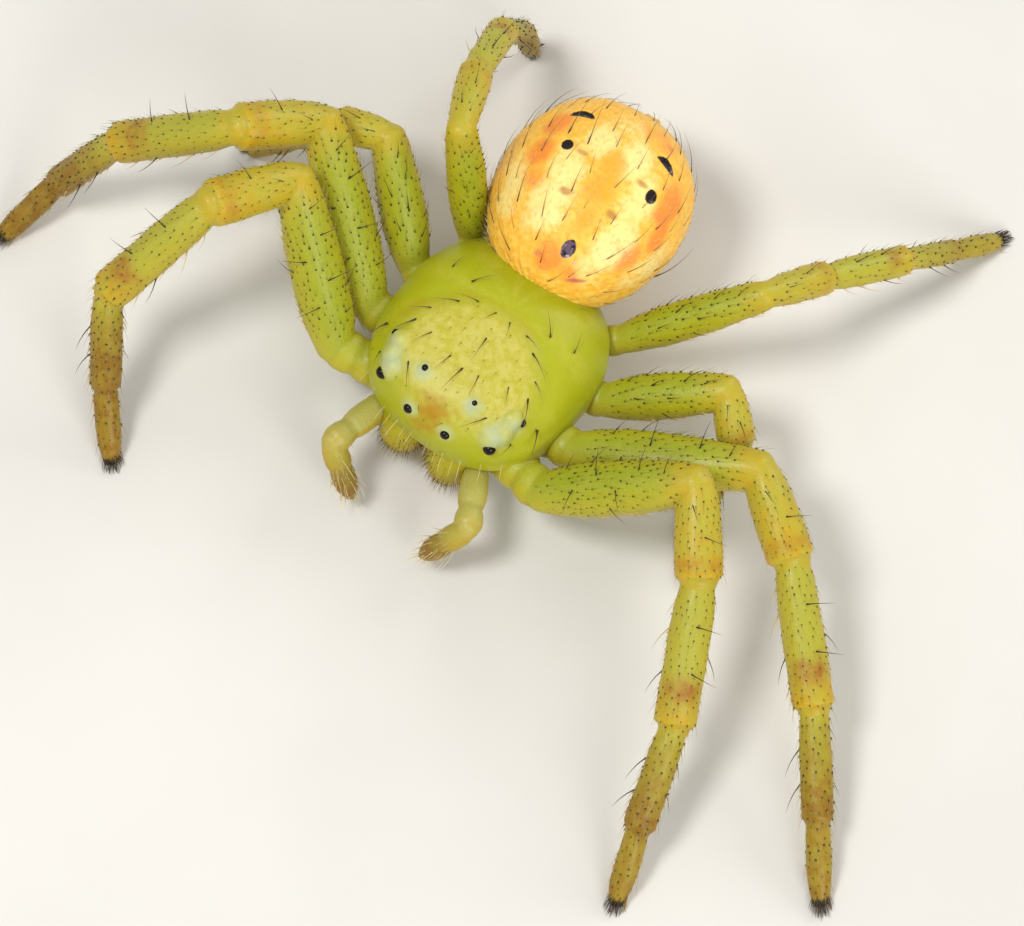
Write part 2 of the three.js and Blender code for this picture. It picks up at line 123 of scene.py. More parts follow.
LEG_PAIRS = (
    LegPair((0.62, -0.76, 0.84), (1.64, -1.09, 1.16), (2.38, 1.23, 1.87, 1.4, 0.99),
            (0.355, 0.31, 0.275, 0.21, 0.165)),
    LegPair((0.8, -0.25, 0.84), (1.64, -0.385, 1.2), (2.5, 1.22, 1.9, 1.44, 1.02),
            (0.355, 0.31, 0.275, 0.21, 0.165)),
    LegPair((0.8, 0.32, 0.84), (1.55, 0.45, 1.16), (1.7, 0.7, 1.0, 0.7, 0.6),
            (0.3, 0.245, 0.21, 0.17, 0.14)),
    LegPair((0.62, 0.85, 0.84), (1.2, 1.28, 1.12), (2.1, 1.12, 1.3, 1.08, 0.9),
            (0.26, 0.225, 0.205, 0.16, 0.145)),
)

# Bearing and rise in degrees of femur, patella, tibia and metatarsus, then the tarsus's bearing.
LEG_POSES = {
    Side.LEFT: (
        ((-25, 37), (51, -22), (62, -26), (73, -28), 70),
        ((-24, 19), (32, -17), (43, -20), (50, -21), 49),
        ((-31, 28), (41, -26), (124, -80), (78, -39), 63),
        ((-43, 33), (-67, -29), (-60, -22), (-68, -40), -66),
    ),
    Side.RIGHT: (
        ((-32.5, 43.5), (60, 10), (68, -40), (128, -53), 135),
        ((-34, 35), (51, 18), (27, -38), (41, -60), 74),
        ((-38, 35), (20, -6), (8, -64), (10, -62), 17),
        ((-28, 71), (-67, -23), (-77, -38), (-98, -61), -98),
    ),
}

COXA_TAPER = 0.84
TIP_HEIGHT = 0.045
CAP_REACH = 0.75
CAP_RINGS = 6
LIMB_RING_GAP = 0.05
BALL_RINGS = 20
BALL_SIDES = 32


@dataclass(frozen=True)
class Eye:
    """One eye of the left side: its lens, the way it looks and the white mound it stands on.

    The brow is the mound's rise over the lens. The white field lies round a centre of its own.
    """

    name: str
    at: Point
    lens: float
    looks: Point
    mound: float
    brow: float
    white: float
    white_at: Point


EYES = (
    Eye("front_inner", (0.29, -1.39, 1.69), 0.07, (0.15, -0.8, 0.5), 0.12, 0.0, 0.105, (0.28, -1.38, 1.71)),
    Eye("front_outer", (0.85, -1.2, 1.68), 0.085, (0.5, -0.8, 0.1), 0.185, 0.045, 0.19, (0.8, -1.06, 1.78)),
    Eye("back_inner", (0.39, -0.93, 2.0), 0.06, (0.1, -0.3, 0.95), 0.15, 0.0, 0.13, (0.39, -0.97, 1.98)),
    Eye("back_outer", (0.99, -0.73, 1.87), 0.065, (0.85, 0.25, 0.35), 0.15, 0.03, 0.14, (0.92, -0.8, 1.89)),
)


def body_origin() -> Vector:
    """The place of the body frame's origin in the part's frame, read off one eye of the frame."""
    low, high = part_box("eye_back_inner_left")
    return (low + high) / 2 - Vector(EYES[2].at) * METRES_PER_MM


# Small tools for shapes


def unit(v: np.ndarray) -> np.ndarray:
    """Vectors of length one, along the last axis."""
    return v / np.maximum(np.linalg.norm(v, axis=-1, keepdims=True), 1e-12)


def ease(low: float, high: float, x: np.ndarray) -> np.ndarray:
    """A smooth step from 0 at low to 1 at high."""
    t = np.clip((x - low) / (high - low), 0, 1)
    return t * t * (3 - 2 * t)


def smooth_curve(points: Outline, at: np.ndarray) -> np.ndarray:
    """A curve through an outline's points that never overshoots them.

    Args:
        points: Pairs of position and value, in rising order of position.
        at: The positions to read.

    Returns:
        The values there.
    """
    x, y = np.array(points, float).T
    slopes = np.diff(y) / np.diff(x)
    tangents = np.zeros_like(y)
    inner = slopes[:-1] * slopes[1:] > 0
    tangents[1:-1][inner] = 2 / (1 / slopes[:-1][inner] + 1 / slopes[1:][inner])
    tangents[0], tangents[-1] = slopes[0], slopes[-1]
    i = np.clip(np.searchsorted(x, at, side="right") - 1, 0, len(x) - 2)
    h = x[i + 1] - x[i]
    t = np.clip((at - x[i]) / h, 0, 1)
    a, b = 2 * t**3 - 3 * t**2 + 1, t**3 - 2 * t**2 + t
    return a * y[i] + b * h * tangents[i] + (1 - a) * y[i + 1] + (t**3 - t**2) * h * tangents[i + 1]


@dataclass
class Shell:
    """A closed surface as points and faces, before it becomes a mesh."""

    points: np.ndarray
    faces: list[tuple[int, ...]]

    @staticmethod
    def join(shells: Iterable["Shell"]) -> "Shell":
        """Several shells as one."""
        points, faces, offset = [], [], 0
        for shell in shells:
            points.append(shell.points)
            faces += [tuple(i + offset for i in face) for face in shell.faces]
            offset += len(shell.points)
        return Shell(np.concatenate(points), faces)

    @staticmethod
    def of_rings(rings: np.ndarray, first: np.ndarray, last: np.ndarray) -> "Shell":
        """A shell of rings of points, closed by a pole at each end.

        Args:
            rings: Points as (ring, place in the ring, xyz).
            first: The pole before the first ring.
            last: The pole after the last ring.

        Returns:
            The closed shell.
        """
        count, sides, _ = rings.shape
        points = np.concatenate([first[None], rings.reshape(-1, 3), last[None]])
        at = lambda ring, side: 1 + ring * sides + side % sides
        faces: list[tuple[int, ...]] = []
        for s in range(sides):
            faces.append((0, at(0, s + 1), at(0, s)))
            faces.append((len(points) - 1, at(count - 1, s), at(count - 1, s + 1)))
            faces += [(at(r, s), at(r, s + 1), at(r + 1, s + 1), at(r + 1, s)) for r in range(count - 1)]
        return Shell(points, faces)


def frame_along(way: np.ndarray) -> tuple[np.ndarray, np.ndarray]:
    """The upward and the sideways direction across a line, both of length one."""
    steady = np.array([0.0, 0.0, 1.0]) if abs(way[2]) < 0.97 else np.array([0.0, -1.0, 0.0])
    up = unit(steady - way * (steady @ way))
    return up, np.cross(way, up)


def limb_shell(
    start: np.ndarray, end: np.ndarray, radius: float, outline: Outline, sides: int = 28
) -> Shell:
    """One segment of a limb: a turned tube with a rounded cap past each end.

    Args:
        start: The centre of its first joint.
        end: The centre of its second joint.
        radius: Its largest radius.
        outline: Shares of the length and of the radius.
        sides: Points round it.

    Returns:
        The closed shell.
    """
    length = float(np.linalg.norm(end - start))
    way = (end - start) / length
    up, across = frame_along(way)
    arc = np.linspace(0.2, math.pi / 2, CAP_RINGS)
    shares = np.linspace(0, 1, max(8, int(length / LIMB_RING_GAP)))
    wall = smooth_curve(outline, shares) * radius
    low, high = wall[0], wall[-1]
    heights = np.concatenate([
        -CAP_REACH * low * np.cos(arc)[:-1],
        shares * length,
        length + CAP_REACH * high * np.cos(arc[::-1])[1:],
    ])
    widths = np.concatenate([low * np.sin(arc)[:-1], wall, high * np.sin(arc[::-1])[1:]])
    turn = np.linspace(0, 2 * math.pi, sides, endpoint=False)
    around = np.cos(turn)[:, None] * up + np.sin(turn)[:, None] * across
    rings = start + heights[:, None, None] * way + widths[:, None, None] * around[None]
    return Shell.of_rings(rings, start - CAP_REACH * low * way, end + CAP_REACH * high * way)


def ball_shell(centre: np.ndarray, radii: Sequence[float], axis: np.ndarray | None = None) -> Shell:
    """An ellipsoid whose third radius lies along an axis."""
    way = unit(np.array([0.0, 0.0, 1.0]) if axis is None else np.asarray(axis, float))
    up, across = frame_along(way)
    arc = np.linspace(0, math.pi, BALL_RINGS)[1:-1, None, None]
    turn = np.linspace(0, 2 * math.pi, BALL_SIDES, endpoint=False)[None, :, None]
    rings = (
        centre
        + radii[0] * np.sin(arc) * np.cos(turn) * up
        + radii[1] * np.sin(arc) * np.sin(turn) * across
        - radii[2] * np.cos(arc) * way
    )
    return Shell.of_rings(rings, centre - radii[2] * way, centre + radii[2] * way)


def linked(name: str, data: Any) -> bpy.types.Object:
    """A new object of a mesh, light or camera, linked into the scene."""
    made = bpy.data.objects.new(name, data)
    bpy.context.scene.collection.objects.link(made)
    return made


def mesh_object(name: str, shell: Shell) -> bpy.types.Object:
    """A mesh object of a shell, still in millimetres in the body's frame."""
    mesh = bpy.data.meshes.new(name)
    mesh.from_pydata(shell.points.tolist(), [], shell.faces)
    mesh.update()
    return linked(name, mesh)


def plain_mesh(made: bpy.types.Object) -> bpy.types.Object:
    """Applies an object's modifiers by taking its evaluated mesh."""
    evaluated = made.evaluated_get(bpy.context.evaluated_depsgraph_get())
    mesh = bpy.data.meshes.new_from_object(evaluated)
    old = made.data
    made.modifiers.clear()
    made.data = mesh
    bpy.data.meshes.remove(old)
    mesh.name = made.name
    return made


def fused(name: str, shells: Iterable[Shell], voxel: float, rounds: int) -> bpy.types.Object:
    """One skin over several shells, with soft creases where they meet.

    Args:
        name: The piece's name.
        shells: Closed shells that overlap.
        voxel: The size of a face of the skin.
        rounds: Rounds of smoothing.

    Returns:
        The skin's object, in millimetres.
    """
    made = mesh_object(name, Shell.join(shells))
    remesh = made.modifiers.new("fuse", "REMESH")
    remesh.mode, remesh.voxel_size = "VOXEL", voxel
    remesh.use_smooth_shade = True
    smooth = made.modifiers.new("soften", "SMOOTH")
    smooth.factor, smooth.iterations = 0.5, rounds
    return plain_mesh(made)


def points_of(made: bpy.types.Object) -> np.ndarray:
    """The vertices of an object's mesh."""
    flat = np.empty(len(made.data.vertices) * 3)
    made.data.vertices.foreach_get("co", flat)
    return flat.reshape(-1, 3)


def set_points(made: bpy.types.Object, points: np.ndarray) -> None:
    """Moves the vertices of an object's mesh."""
    made.data.vertices.foreach_set("co", points.ravel())
    made.data.update()


def normals_of(made: bpy.types.Object) -> np.ndarray:
    """The vertex normals of an object's mesh."""
    flat = np.empty(len(made.data.vertices) * 3)
    made.data.vertex_normals.foreach_get("vector", flat)
    return flat.reshape(-1, 3)


def store(made: bpy.types.Object, **values: Any) -> None:
    """Writes attributes of the mesh, over an older one where it has it.

    Args:
        made: The mesh's object.
        values: By name, an array with a number or a vector for each vertex, or one number or one
            vector for all of them.
    """
    count = len(made.data.vertices)
    for name, value in values.items():
        value = np.asarray(value, np.float32)
        vector = value.ndim == 2 or (value.shape == (3,) and count > 3)
        kind, key, width = ("FLOAT_VECTOR", "vector", 3) if vector else ("FLOAT", "value", 1)
        attribute = made.data.attributes.get(name) or made.data.attributes.new(name, kind, "POINT")
        if value.size == width:
            value = np.tile(value.ravel(), count)
        attribute.data.foreach_set(key, value.ravel())


def store_plain_tones(made: bpy.types.Object, way: np.ndarray, ripe: float) -> None:
    """Writes even tones for a small piece of cuticle whose hairs would lie along a way."""
    store(made, ripe=ripe, cuff=0.1, brown=0.15, blush=0.0, tip=0.0, flank=0.3)
    store(made, cover=1.0, reach=0.12, lie=way)


def unevenness(points: np.ndarray, pitch: float) -> np.ndarray:
    """A soft random field between about -1 and 1, with swells about a pitch apart."""
    rng = np.random.default_rng(SEED)
    waves = unit(rng.normal(size=(9, 3))) * (2 * math.pi / pitch) * rng.uniform(0.6, 1.5, (9, 1))
    return np.sin(points @ waves.T + rng.uniform(0, 2 * math.pi, 9)).sum(1) / 4.5


def settle(made: bpy.types.Object, replaced: Sequence[str] = ()) -> bpy.types.Object:
    """Args:
        made: The piece, in millimetres in the body's frame.
        replaced: The nodes it stands for.

    Returns:
        The piece, in metres.
    """
    made.data.transform(Matrix.Translation(body_origin()) @ Matrix.Scale(METRES_PER_MM, 4))
    points = points_of(made)
    points[:, 2] = np.maximum(points[:, 2], 0.0)
    set_points(made, points)
    made.data.shade_smooth()
    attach(made, BODY)
    if replaced:
        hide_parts(*replaced)
    triangles = sum(len(p.vertices) - 2 for p in made.data.polygons)
    log.info("%s: %d triangles", made.name, triangles)
    return made


# Node trees


class Tree:
    """A node tree under construction, for a shader or for geometry."""

    def __init__(self, tree: bpy.types.NodeTree) -> None:
        """Starts on an empty tree."""
        self.tree = tree
        self.tree.nodes.clear()

    @classmethod
    def group(cls, name: str, kind: str) -> "Tree":
        """A new group of nodes of a kind, GeometryNodeTree or ShaderNodeTree."""
        return cls(bpy.data.node_groups.new(name, kind))

    def take(self, name: str, kind: str, default: Any = None) -> str:
        """Adds an input.

        Args:
            name: Its name.
            kind: Its socket type, without NodeSocket in front.
            default: Its value where nothing is linked.

        Returns:
            The socket's identifier.
        """
        socket = self.tree.interface.new_socket(name, in_out="INPUT", socket_type=f"NodeSocket{kind}")
        if default is not None:
            socket.default_value = default
        return socket.identifier

    def give(self, name: str, kind: str) -> None:
        """Adds an output."""
        self.tree.interface.new_socket(name, in_out="OUTPUT", socket_type=f"NodeSocket{kind}")

    def node(self, kind: str, inputs: dict[Any, Any] | None = None, **settings: Any) -> bpy.types.Node:
        """Adds a node.

        Args:
            kind: Its type.
            inputs: For each input's name or number, a value or the output that feeds it.
            settings: Its properties.

        Returns:
            The node.
        """
        made = self.tree.nodes.new(kind)
        for name, value in settings.items():
            setattr(made, name, value)
        for name, value in (inputs or {}).items():
            given = (s for s in made.inputs if s.name == name and s.enabled)
            socket = made.inputs[name] if isinstance(name, int) else next(given)
            if isinstance(value, bpy.types.NodeSocket):
                self.tree.links.new(value, socket)
            else:
                socket.default_value = value
        return made

    def out(self, kind: str, inputs: dict[Any, Any] | None = None, **settings: Any) -> bpy.types.NodeSocket:
        """Adds a node and gives its first enabled output."""
        made = self.node(kind, inputs, **settings)
        return next(s for s in made.outputs if s.enabled)

    def math(self, operation: str, a: Any, b: Any = 0.0, c: Any = 0.0) -> bpy.types.NodeSocket:
        """A Math node on two or three numbers."""
        return self.out("ShaderNodeMath", {0: a, 1: b, 2: c}, operation=operation)

    def vector(self, operation: str, a: Any, b: Any = (0, 0, 0)) -> bpy.types.NodeSocket:
        """A Vector Math node on two vectors."""
        return self.out("ShaderNodeVectorMath", {0: a, 1: b}, operation=operation)

    def scaled(self, vector: Any, factor: Any) -> bpy.types.NodeSocket:
        """A vector times a number."""
        return self.out("ShaderNodeVectorMath", {0: vector, "Scale": factor}, operation="SCALE")

    def times(self, a: Any, b: Any, plus: Any = None) -> bpy.types.NodeSocket:
        """A number times another, plus a third one where it is given."""
        return self.math("MULTIPLY", a, b) if plus is None else self.math("MULTIPLY_ADD", a, b, plus)

    def ramp(self, value: Any, low: Any, high: Any) -> bpy.types.NodeSocket:
        """A smooth step from 0 at low to 1 at high."""
        ends = {"Value": value, "From Min": low, "From Max": high}
        return self.out("ShaderNodeMapRange", ends, interpolation_type="SMOOTHSTEP")

    def blend(self, share: Any, a: Any, b: Any) -> bpy.types.NodeSocket:
        """Two colours mixed by a share of the second."""
        a, b = (tone if isinstance(tone, bpy.types.NodeSocket) else (*tone, 1) for tone in (a, b))
        return self.out("ShaderNodeMix", {"Factor": share, "A": a, "B": b}, data_type="RGBA")

    def attribute(self, name: str) -> bpy.types.NodeSocket:
        """The number that a mesh carries under a name, in a shader."""
        return self.node("ShaderNodeAttribute", attribute_name=name).outputs["Fac"]

    def carried(self, name: str, kind: str = "FLOAT") -> bpy.types.NodeSocket:
        """What a mesh carries under a name, in geometry nodes."""
        return self.out("GeometryNodeInputNamedAttribute", {"Name": name}, data_type=kind)

    def with_place(self, geometry: Any, name: str) -> bpy.types.NodeSocket:
        """The geometry with each point's place stored under a name."""
        stored = {"Geometry": geometry, "Name": name, "Value": self.out("GeometryNodeInputPosition")}
        return self.out("GeometryNodeStoreNamedAttribute", stored, data_type="FLOAT_VECTOR", domain="POINT")


# Setae: the hairs and bristles, grown by geometry nodes

# The size of a seta's patch of the map.
PATCH = 0.003
KEPT_ATTRIBUTES = {"along", "pale", "OFBake", "position", "material_index"}


class SetaTrees:
    """The geometry node trees that grow setae, shared by every coat."""

    SHAPE_INPUTS = (("Thickness", "Float", 0.05), ("Bend", "Float", 0.2), ("Socket", "Float", 0.6),
                    ("Steps", "Int", 6), ("Sides", "Int", 4))
    PLANT_INPUTS = (("Lean", "Float", 0.8), ("Spread", "Float", 0.1), ("Shortest", "Float", 0.7),
                    ("Seed", "Int", 0), ("Material", "Material", None))
    POINT_INPUTS = (("Points", "Geometry", None), ("Seta", "Geometry", None), ("Outward", "Vector", None))
    RISE_POWER = 1.7
    TAPER_POWER = 1.5
    TAPER = 0.88
    COLLAR_END = 0.2
    CROWDING = 1.6

    def __init__(self) -> None:
        """Builds the seta, the planter and the two trees that use them."""
        self.inputs: dict[str, dict[str, str]] = {}
        self.seta = self._seta()
        self.planter = self._planter()
        self.coat = self._coat()
        self.row = self._row()

    def _seta(self) -> bpy.types.NodeTree:
        """One seta of length one: a bent, tapered tube with a socket at its root."""
        t = Tree.group("seta", "GeometryNodeTree")
        for row in self.SHAPE_INPUTS:
            t.take(*row)
        t.give("Mesh", "Geometry")
        given = t.node("NodeGroupInput").outputs
        line = t.out("GeometryNodeCurvePrimitiveLine", {"Start": (0, 0, 0), "End": (0, 0, 1)})
        line = t.out("GeometryNodeResampleCurve", {"Curve": line, "Count": given["Steps"]})
        along = t.node("GeometryNodeSplineParameter").outputs["Factor"]
        rise = t.math("POWER", along, self.RISE_POWER)
        lean = t.times(given["Bend"], t.times(rise, rise))
        place = t.out("ShaderNodeCombineXYZ", {"X": lean, "Y": 0.0, "Z": rise})
        line = t.out("GeometryNodeSetPosition", {"Geometry": line, "Position": place})
        taper = t.math("SUBTRACT", 1.0, t.times(t.math("POWER", along, self.TAPER_POWER), self.TAPER))
        root = t.math("SUBTRACT", 1.0, t.ramp(along, 0.0, self.COLLAR_END))
        radius = t.times(t.times(taper, t.times(root, given["Socket"], plus=1.0)), given["Thickness"])
        ring = t.out("GeometryNodeCurvePrimitiveCircle", {"Resolution": given["Sides"], "Radius": 1.0})
        tube = t.out("GeometryNodeCurveToMesh",
                     {"Curve": line, "Profile Curve": ring, "Scale": radius, "Fill Caps": True})
        t.node("NodeGroupOutput", {"Mesh": t.with_place(tube, "blade")})
        return t.tree

    def _planter(self) -> bpy.types.NodeTree:
        """Sets a seta on each point, leaning from outwards along the lie."""
        t = Tree.group("planter", "GeometryNodeTree")
        for row in (*self.POINT_INPUTS, *self.PLANT_INPUTS):
            t.take(*row)
        t.give("Geometry", "Geometry")
        given = t.node("NodeGroupInput").outputs
        lie, reach = t.carried("lie", "FLOAT_VECTOR"), t.carried("reach")
        upright = t.scaled(given["Outward"], t.math("COSINE", given["Lean"]))
        laid = t.scaled(lie, t.math("SINE", given["Lean"]))
        limits = {"Min": (-1, -1, -1), "Max": (1, 1, 1), "Seed": given["Seed"]}
        stray = t.out("FunctionNodeRandomValue", limits, data_type="FLOAT_VECTOR")
        way = t.vector("ADD", t.vector("ADD", upright, laid), t.scaled(stray, given["Spread"]))
        turn = t.out("FunctionNodeAxesToRotation", {"Primary Axis": way, "Secondary Axis": lie},
                     primary_axis="Z", secondary_axis="X")
        limits = {"Min": given["Shortest"], "Max": 1.0, "Seed": t.math("ADD", given["Seed"], 1)}
        size = t.times(reach, t.out("FunctionNodeRandomValue", limits, data_type="FLOAT"))
        points = t.with_place(given["Points"], "root")
        planted = t.out("GeometryNodeInstanceOnPoints",
                        {"Points": points, "Instance": given["Seta"], "Rotation": turn, "Scale": size})
        real = t.out("GeometryNodeRealizeInstances", {"Geometry": planted})
        dressed = t.out("GeometryNodeSetMaterial", {"Geometry": real, "Material": given["Material"]})
        t.node("NodeGroupOutput", {"Geometry": dressed})
        return t.tree

    def _open(self, name: str, extra: Sequence[tuple[str, str, Any]]) -> tuple[Tree, Any]:
        """Starts a tree with the inputs that both coats and rows have."""
        t = Tree.group(name, "GeometryNodeTree")
        rows = (("Geometry", "Geometry", None), *self.SHAPE_INPUTS, *self.PLANT_INPUTS, *extra)
        self.inputs[name] = {row[0]: t.take(*row) for row in rows}
        t.give("Geometry", "Geometry")
        return t, t.node("NodeGroupInput").outputs

    def _close(self, t: Tree, given: Any, points: Any, outward: Any) -> bpy.types.NodeTree:
        """Plants the setae and ends the tree."""
        shape = {row[0]: given[row[0]] for row in self.SHAPE_INPUTS}
        seta = t.out("GeometryNodeGroup", shape, node_tree=self.seta)
        plant = {row[0]: given[row[0]] for row in self.PLANT_INPUTS}
        planted = t.out("GeometryNodeGroup", {**plant, "Points": points, "Seta": seta, "Outward": outward},
                        node_tree=self.planter)
        t.node("NodeGroupOutput", {"Geometry": planted})
        return t.tree

    def _coat(self) -> bpy.types.NodeTree:
        """Setae scattered over a skin at a spacing, where its cover attribute lets them grow."""
        t, given = self._open("coat", [("Spacing", "Float", 0.1)])
        most = t.math("DIVIDE", self.CROWDING, t.times(given["Spacing"], given["Spacing"]))
        fed = {"Mesh": given["Geometry"], "Distance Min": given["Spacing"], "Density Max": most,
               "Density Factor": t.carried("cover"), "Seed": given["Seed"]}
        spread = t.node("GeometryNodeDistributePointsOnFaces", fed, distribute_method="POISSON")
        return self._close(t, given, spread.outputs["Points"], spread.outputs["Normal"])

    def _row(self) -> bpy.types.NodeTree:
        """Setae at chosen roots, the vertices of a bare mesh, each with its own outward attribute."""
        t, given = self._open("row", [])
        points = t.out("GeometryNodeMeshToPoints", {"Mesh": given["Geometry"]})
        return self._close(t, given, points, t.carried("outward", "FLOAT_VECTOR"))


@dataclass(frozen=True)
class Seta:
    """The build of one kind of seta. Thickness and bend are shares of its length."""

    thickness: float
    bend: float
    lean: float
    spread: float = 0.1
    shortest: float = 0.7
    socket: float = 0.6
    steps: int = 6
    sides: int = 4
    spacing: float = 0.1

    def grow(
        self,
        trees: SetaTrees,
        name: str,
        ground: bpy.types.Object,
        finish: bpy.types.Material,
        unwrap: Callable[[np.ndarray], np.ndarray],
        seed: int,
        placed: bool = False,
    ) -> bpy.types.Object:
        """Grows these setae as one mesh of their own.

        Args:
            trees: The node trees.
            name: The new piece's name.
            ground: A skin with cover, lie and reach, or a mesh of roots with outward, lie and reach.
            finish: Their material.
            unwrap: Where a point of the skin lies on its unwrap.
            seed: The seed of all that is random.
            placed: Whether the ground holds chosen roots. It is removed when they have grown.

        Returns:
            The piece, in millimetres.
        """
        holder = linked(name, ground.data.copy())
        modifier = holder.modifiers.new("setae", "NODES")
        modifier.node_group = trees.row if placed else trees.coat
        values = {"Thickness": self.thickness, "Bend": self.bend, "Socket": self.socket, "Steps": self.steps,
                  "Sides": self.sides, "Lean": math.radians(self.lean), "Spread": self.spread,
                  "Shortest": self.shortest, "Seed": seed, "Material": finish, "Spacing": self.spacing}
        for label, identifier in trees.inputs["row" if placed else "coat"].items():
            if label in values:
                modifier[identifier] = values[label]
        made = plain_mesh(holder)
        if placed:
            bpy.data.objects.remove(ground)
        self._map_patches(made, unwrap)
        return made

    def _map_patches(self, made: bpy.types.Object, unwrap: Callable[[np.ndarray], np.ndarray]) -> None:
        """Gives each seta a small patch of the map at its root's place on the skin's unwrap."""
        mesh = made.data
        count = len(mesh.vertices)
        root, blade = np.empty((count, 3)), np.empty((count, 3))
        for name, values in (("root", root), ("blade", blade)):
            mesh.attributes[name].data.foreach_get("vector", values.ravel())
        centre = self.bend * blade[:, 2] ** 2
        around = np.arctan2(blade[:, 1], blade[:, 0] - centre) / (2 * math.pi)
        local = np.stack([around, blade[:, 2] - 0.5], 1) * PATCH
        for other in list(mesh.uv_layers):
            mesh.uv_layers.remove(other)
        layer = mesh.uv_layers.new(name="OFBake")
        corner = np.empty(len(mesh.loops), np.int32)
        mesh.loops.foreach_get("vertex_index", corner)
        layer.data.foreach_set("uv", (unwrap(root) + local)[corner].astype(np.float32).ravel())
        store(made, along=np.clip(blade[:, 2], 0, 1))
        for extra in [a.name for a in mesh.attributes if a.name not in KEPT_ATTRIBUTES]:
            if extra in mesh.attributes and not extra.startswith("."):
                mesh.attributes.remove(mesh.attributes[extra])


class Roots:
    """Chosen roots of setae, collected one by one."""

    def __init__(self) -> None:
        """Starts with none."""
        self.rows: list[tuple[np.ndarray, np.ndarray, np.ndarray, float, float]] = []

    def add(
        self, place: np.ndarray, outward: np.ndarray, lie: np.ndarray, reach: float, pale: float = 0.0
    ) -> None:
        """Adds one root.

        Args:
            place: Where it is.
            outward: The direction that leads away from the skin.
            lie: The direction the seta leans and bends to.
            reach: Its length.
            pale: 1 for a pale seta, 0 for a dark one.
        """
        self.rows.append((place, outward, lie, reach, pale))

    def mesh(self, name: str) -> bpy.types.Object:
        """The roots as a bare mesh whose vertices carry their attributes."""
        place, *rest = (np.array(column) for column in zip(*self.rows))
        made = mesh_object(name, Shell(place, []))
        store(made, **dict(zip(("outward", "lie", "reach", "pale"), rest)))
        return made


# Finishes

Colour = tuple[float, float, float]


class GrainGroup:
    """The fine grain of cuticle: a mottled mask and a height for the bump, as one shader group."""

    def __init__(self) -> None:
        """Builds the group once for every finish."""
        t = Tree.group("cuticle_grain", "ShaderNodeTree")
        for name, default in (("Mottle Size", 0.25), ("Grain Size", 0.03), ("Grain Share", 0.5)):
            t.take(name, "Float", default)
        for name in ("Mottle", "Height"):
            t.give(name, "Float")
        given = t.node("NodeGroupInput").outputs
        place = t.scaled(t.node("ShaderNodeTexCoord").outputs["Object"], 1 / METRES_PER_MM)
        broad = t.scaled(place, t.math("DIVIDE", 1.0, given["Mottle Size"]))
        fine = t.scaled(place, t.math("DIVIDE", 1.0, given["Grain Size"]))
        mottle = t.out("ShaderNodeTexNoise",
                       {"Vector": broad, "Scale": 1.0, "Detail": 4.0, "Roughness": 0.55})
        grain = t.out("ShaderNodeTexNoise", {"Vector": fine, "Scale": 1.0, "Detail": 2.0})
        cells = t.out("ShaderNodeTexVoronoi", {"Vector": fine, "Scale": 0.7, "Randomness": 1.0})
        height = t.times(t.math("SUBTRACT", cells, grain), given["Grain Share"], plus=grain)
        t.node("NodeGroupOutput", {"Mottle": mottle, "Height": height})
        self.tree = t.tree

    def use(self, t: Tree, mottle: float, grain: float, share: float) -> dict[str, bpy.types.NodeSocket]:
        """Places the group in a material.

        Args:
            t: The material's tree.
            mottle: The size of the mottling in millimetres.
            grain: The size of the grain in millimetres.
            share: How far the grain is made of pits.

        Returns:
            Its outputs by name.
        """
        sizes = {"Mottle Size": mottle, "Grain Size": grain, "Grain Share": share}
        made = t.node("ShaderNodeGroup", sizes, node_tree=self.tree)
        return {s.name: s for s in made.outputs}


@dataclass(frozen=True)
class Surface:
    """The plain shader values of a finish. Radii and depths are in millimetres."""

    roughness: float = 0.4
    coat: float = 0.2
    coat_roughness: float = 0.2
    translucence: float = 0.0
    scatter: Colour = (0.3, 0.22, 0.05)
    bump: float = 0.004
    gloss: float = 0.5

    def material(self, name: str) -> tuple[Tree, bpy.types.Node]:
        """A material with a Principled BSDF that holds these values."""
        made = bpy.data.materials.new(name)
        made.use_nodes = True
        t = Tree(made.node_tree)
        shader = t.node("ShaderNodeBsdfPrincipled", {
            "Roughness": self.roughness, "Coat Weight": self.coat, "Coat Roughness": self.coat_roughness,
            "Specular IOR Level": self.gloss, "Subsurface Weight": self.translucence,
            "Subsurface Radius": self.scatter, "Subsurface Scale": METRES_PER_MM,
        })
        t.node("ShaderNodeOutputMaterial", {"Surface": shader.outputs["BSDF"]})
        return t, shader

    def dress(self, t: Tree, shader: bpy.types.Node, colour: Any, rough: Any, height: Any) -> None:
        """Feeds colour, roughness and bump into the shader."""
        depth = self.bump * METRES_PER_MM
        bump = t.out("ShaderNodeBump", {"Height": height, "Distance": depth, "Strength": 1.0})
        for name, fed in (("Base Color", colour), ("Roughness", rough), ("Normal", bump)):
            if fed is not None:
                t.tree.links.new(fed, shader.inputs[name])


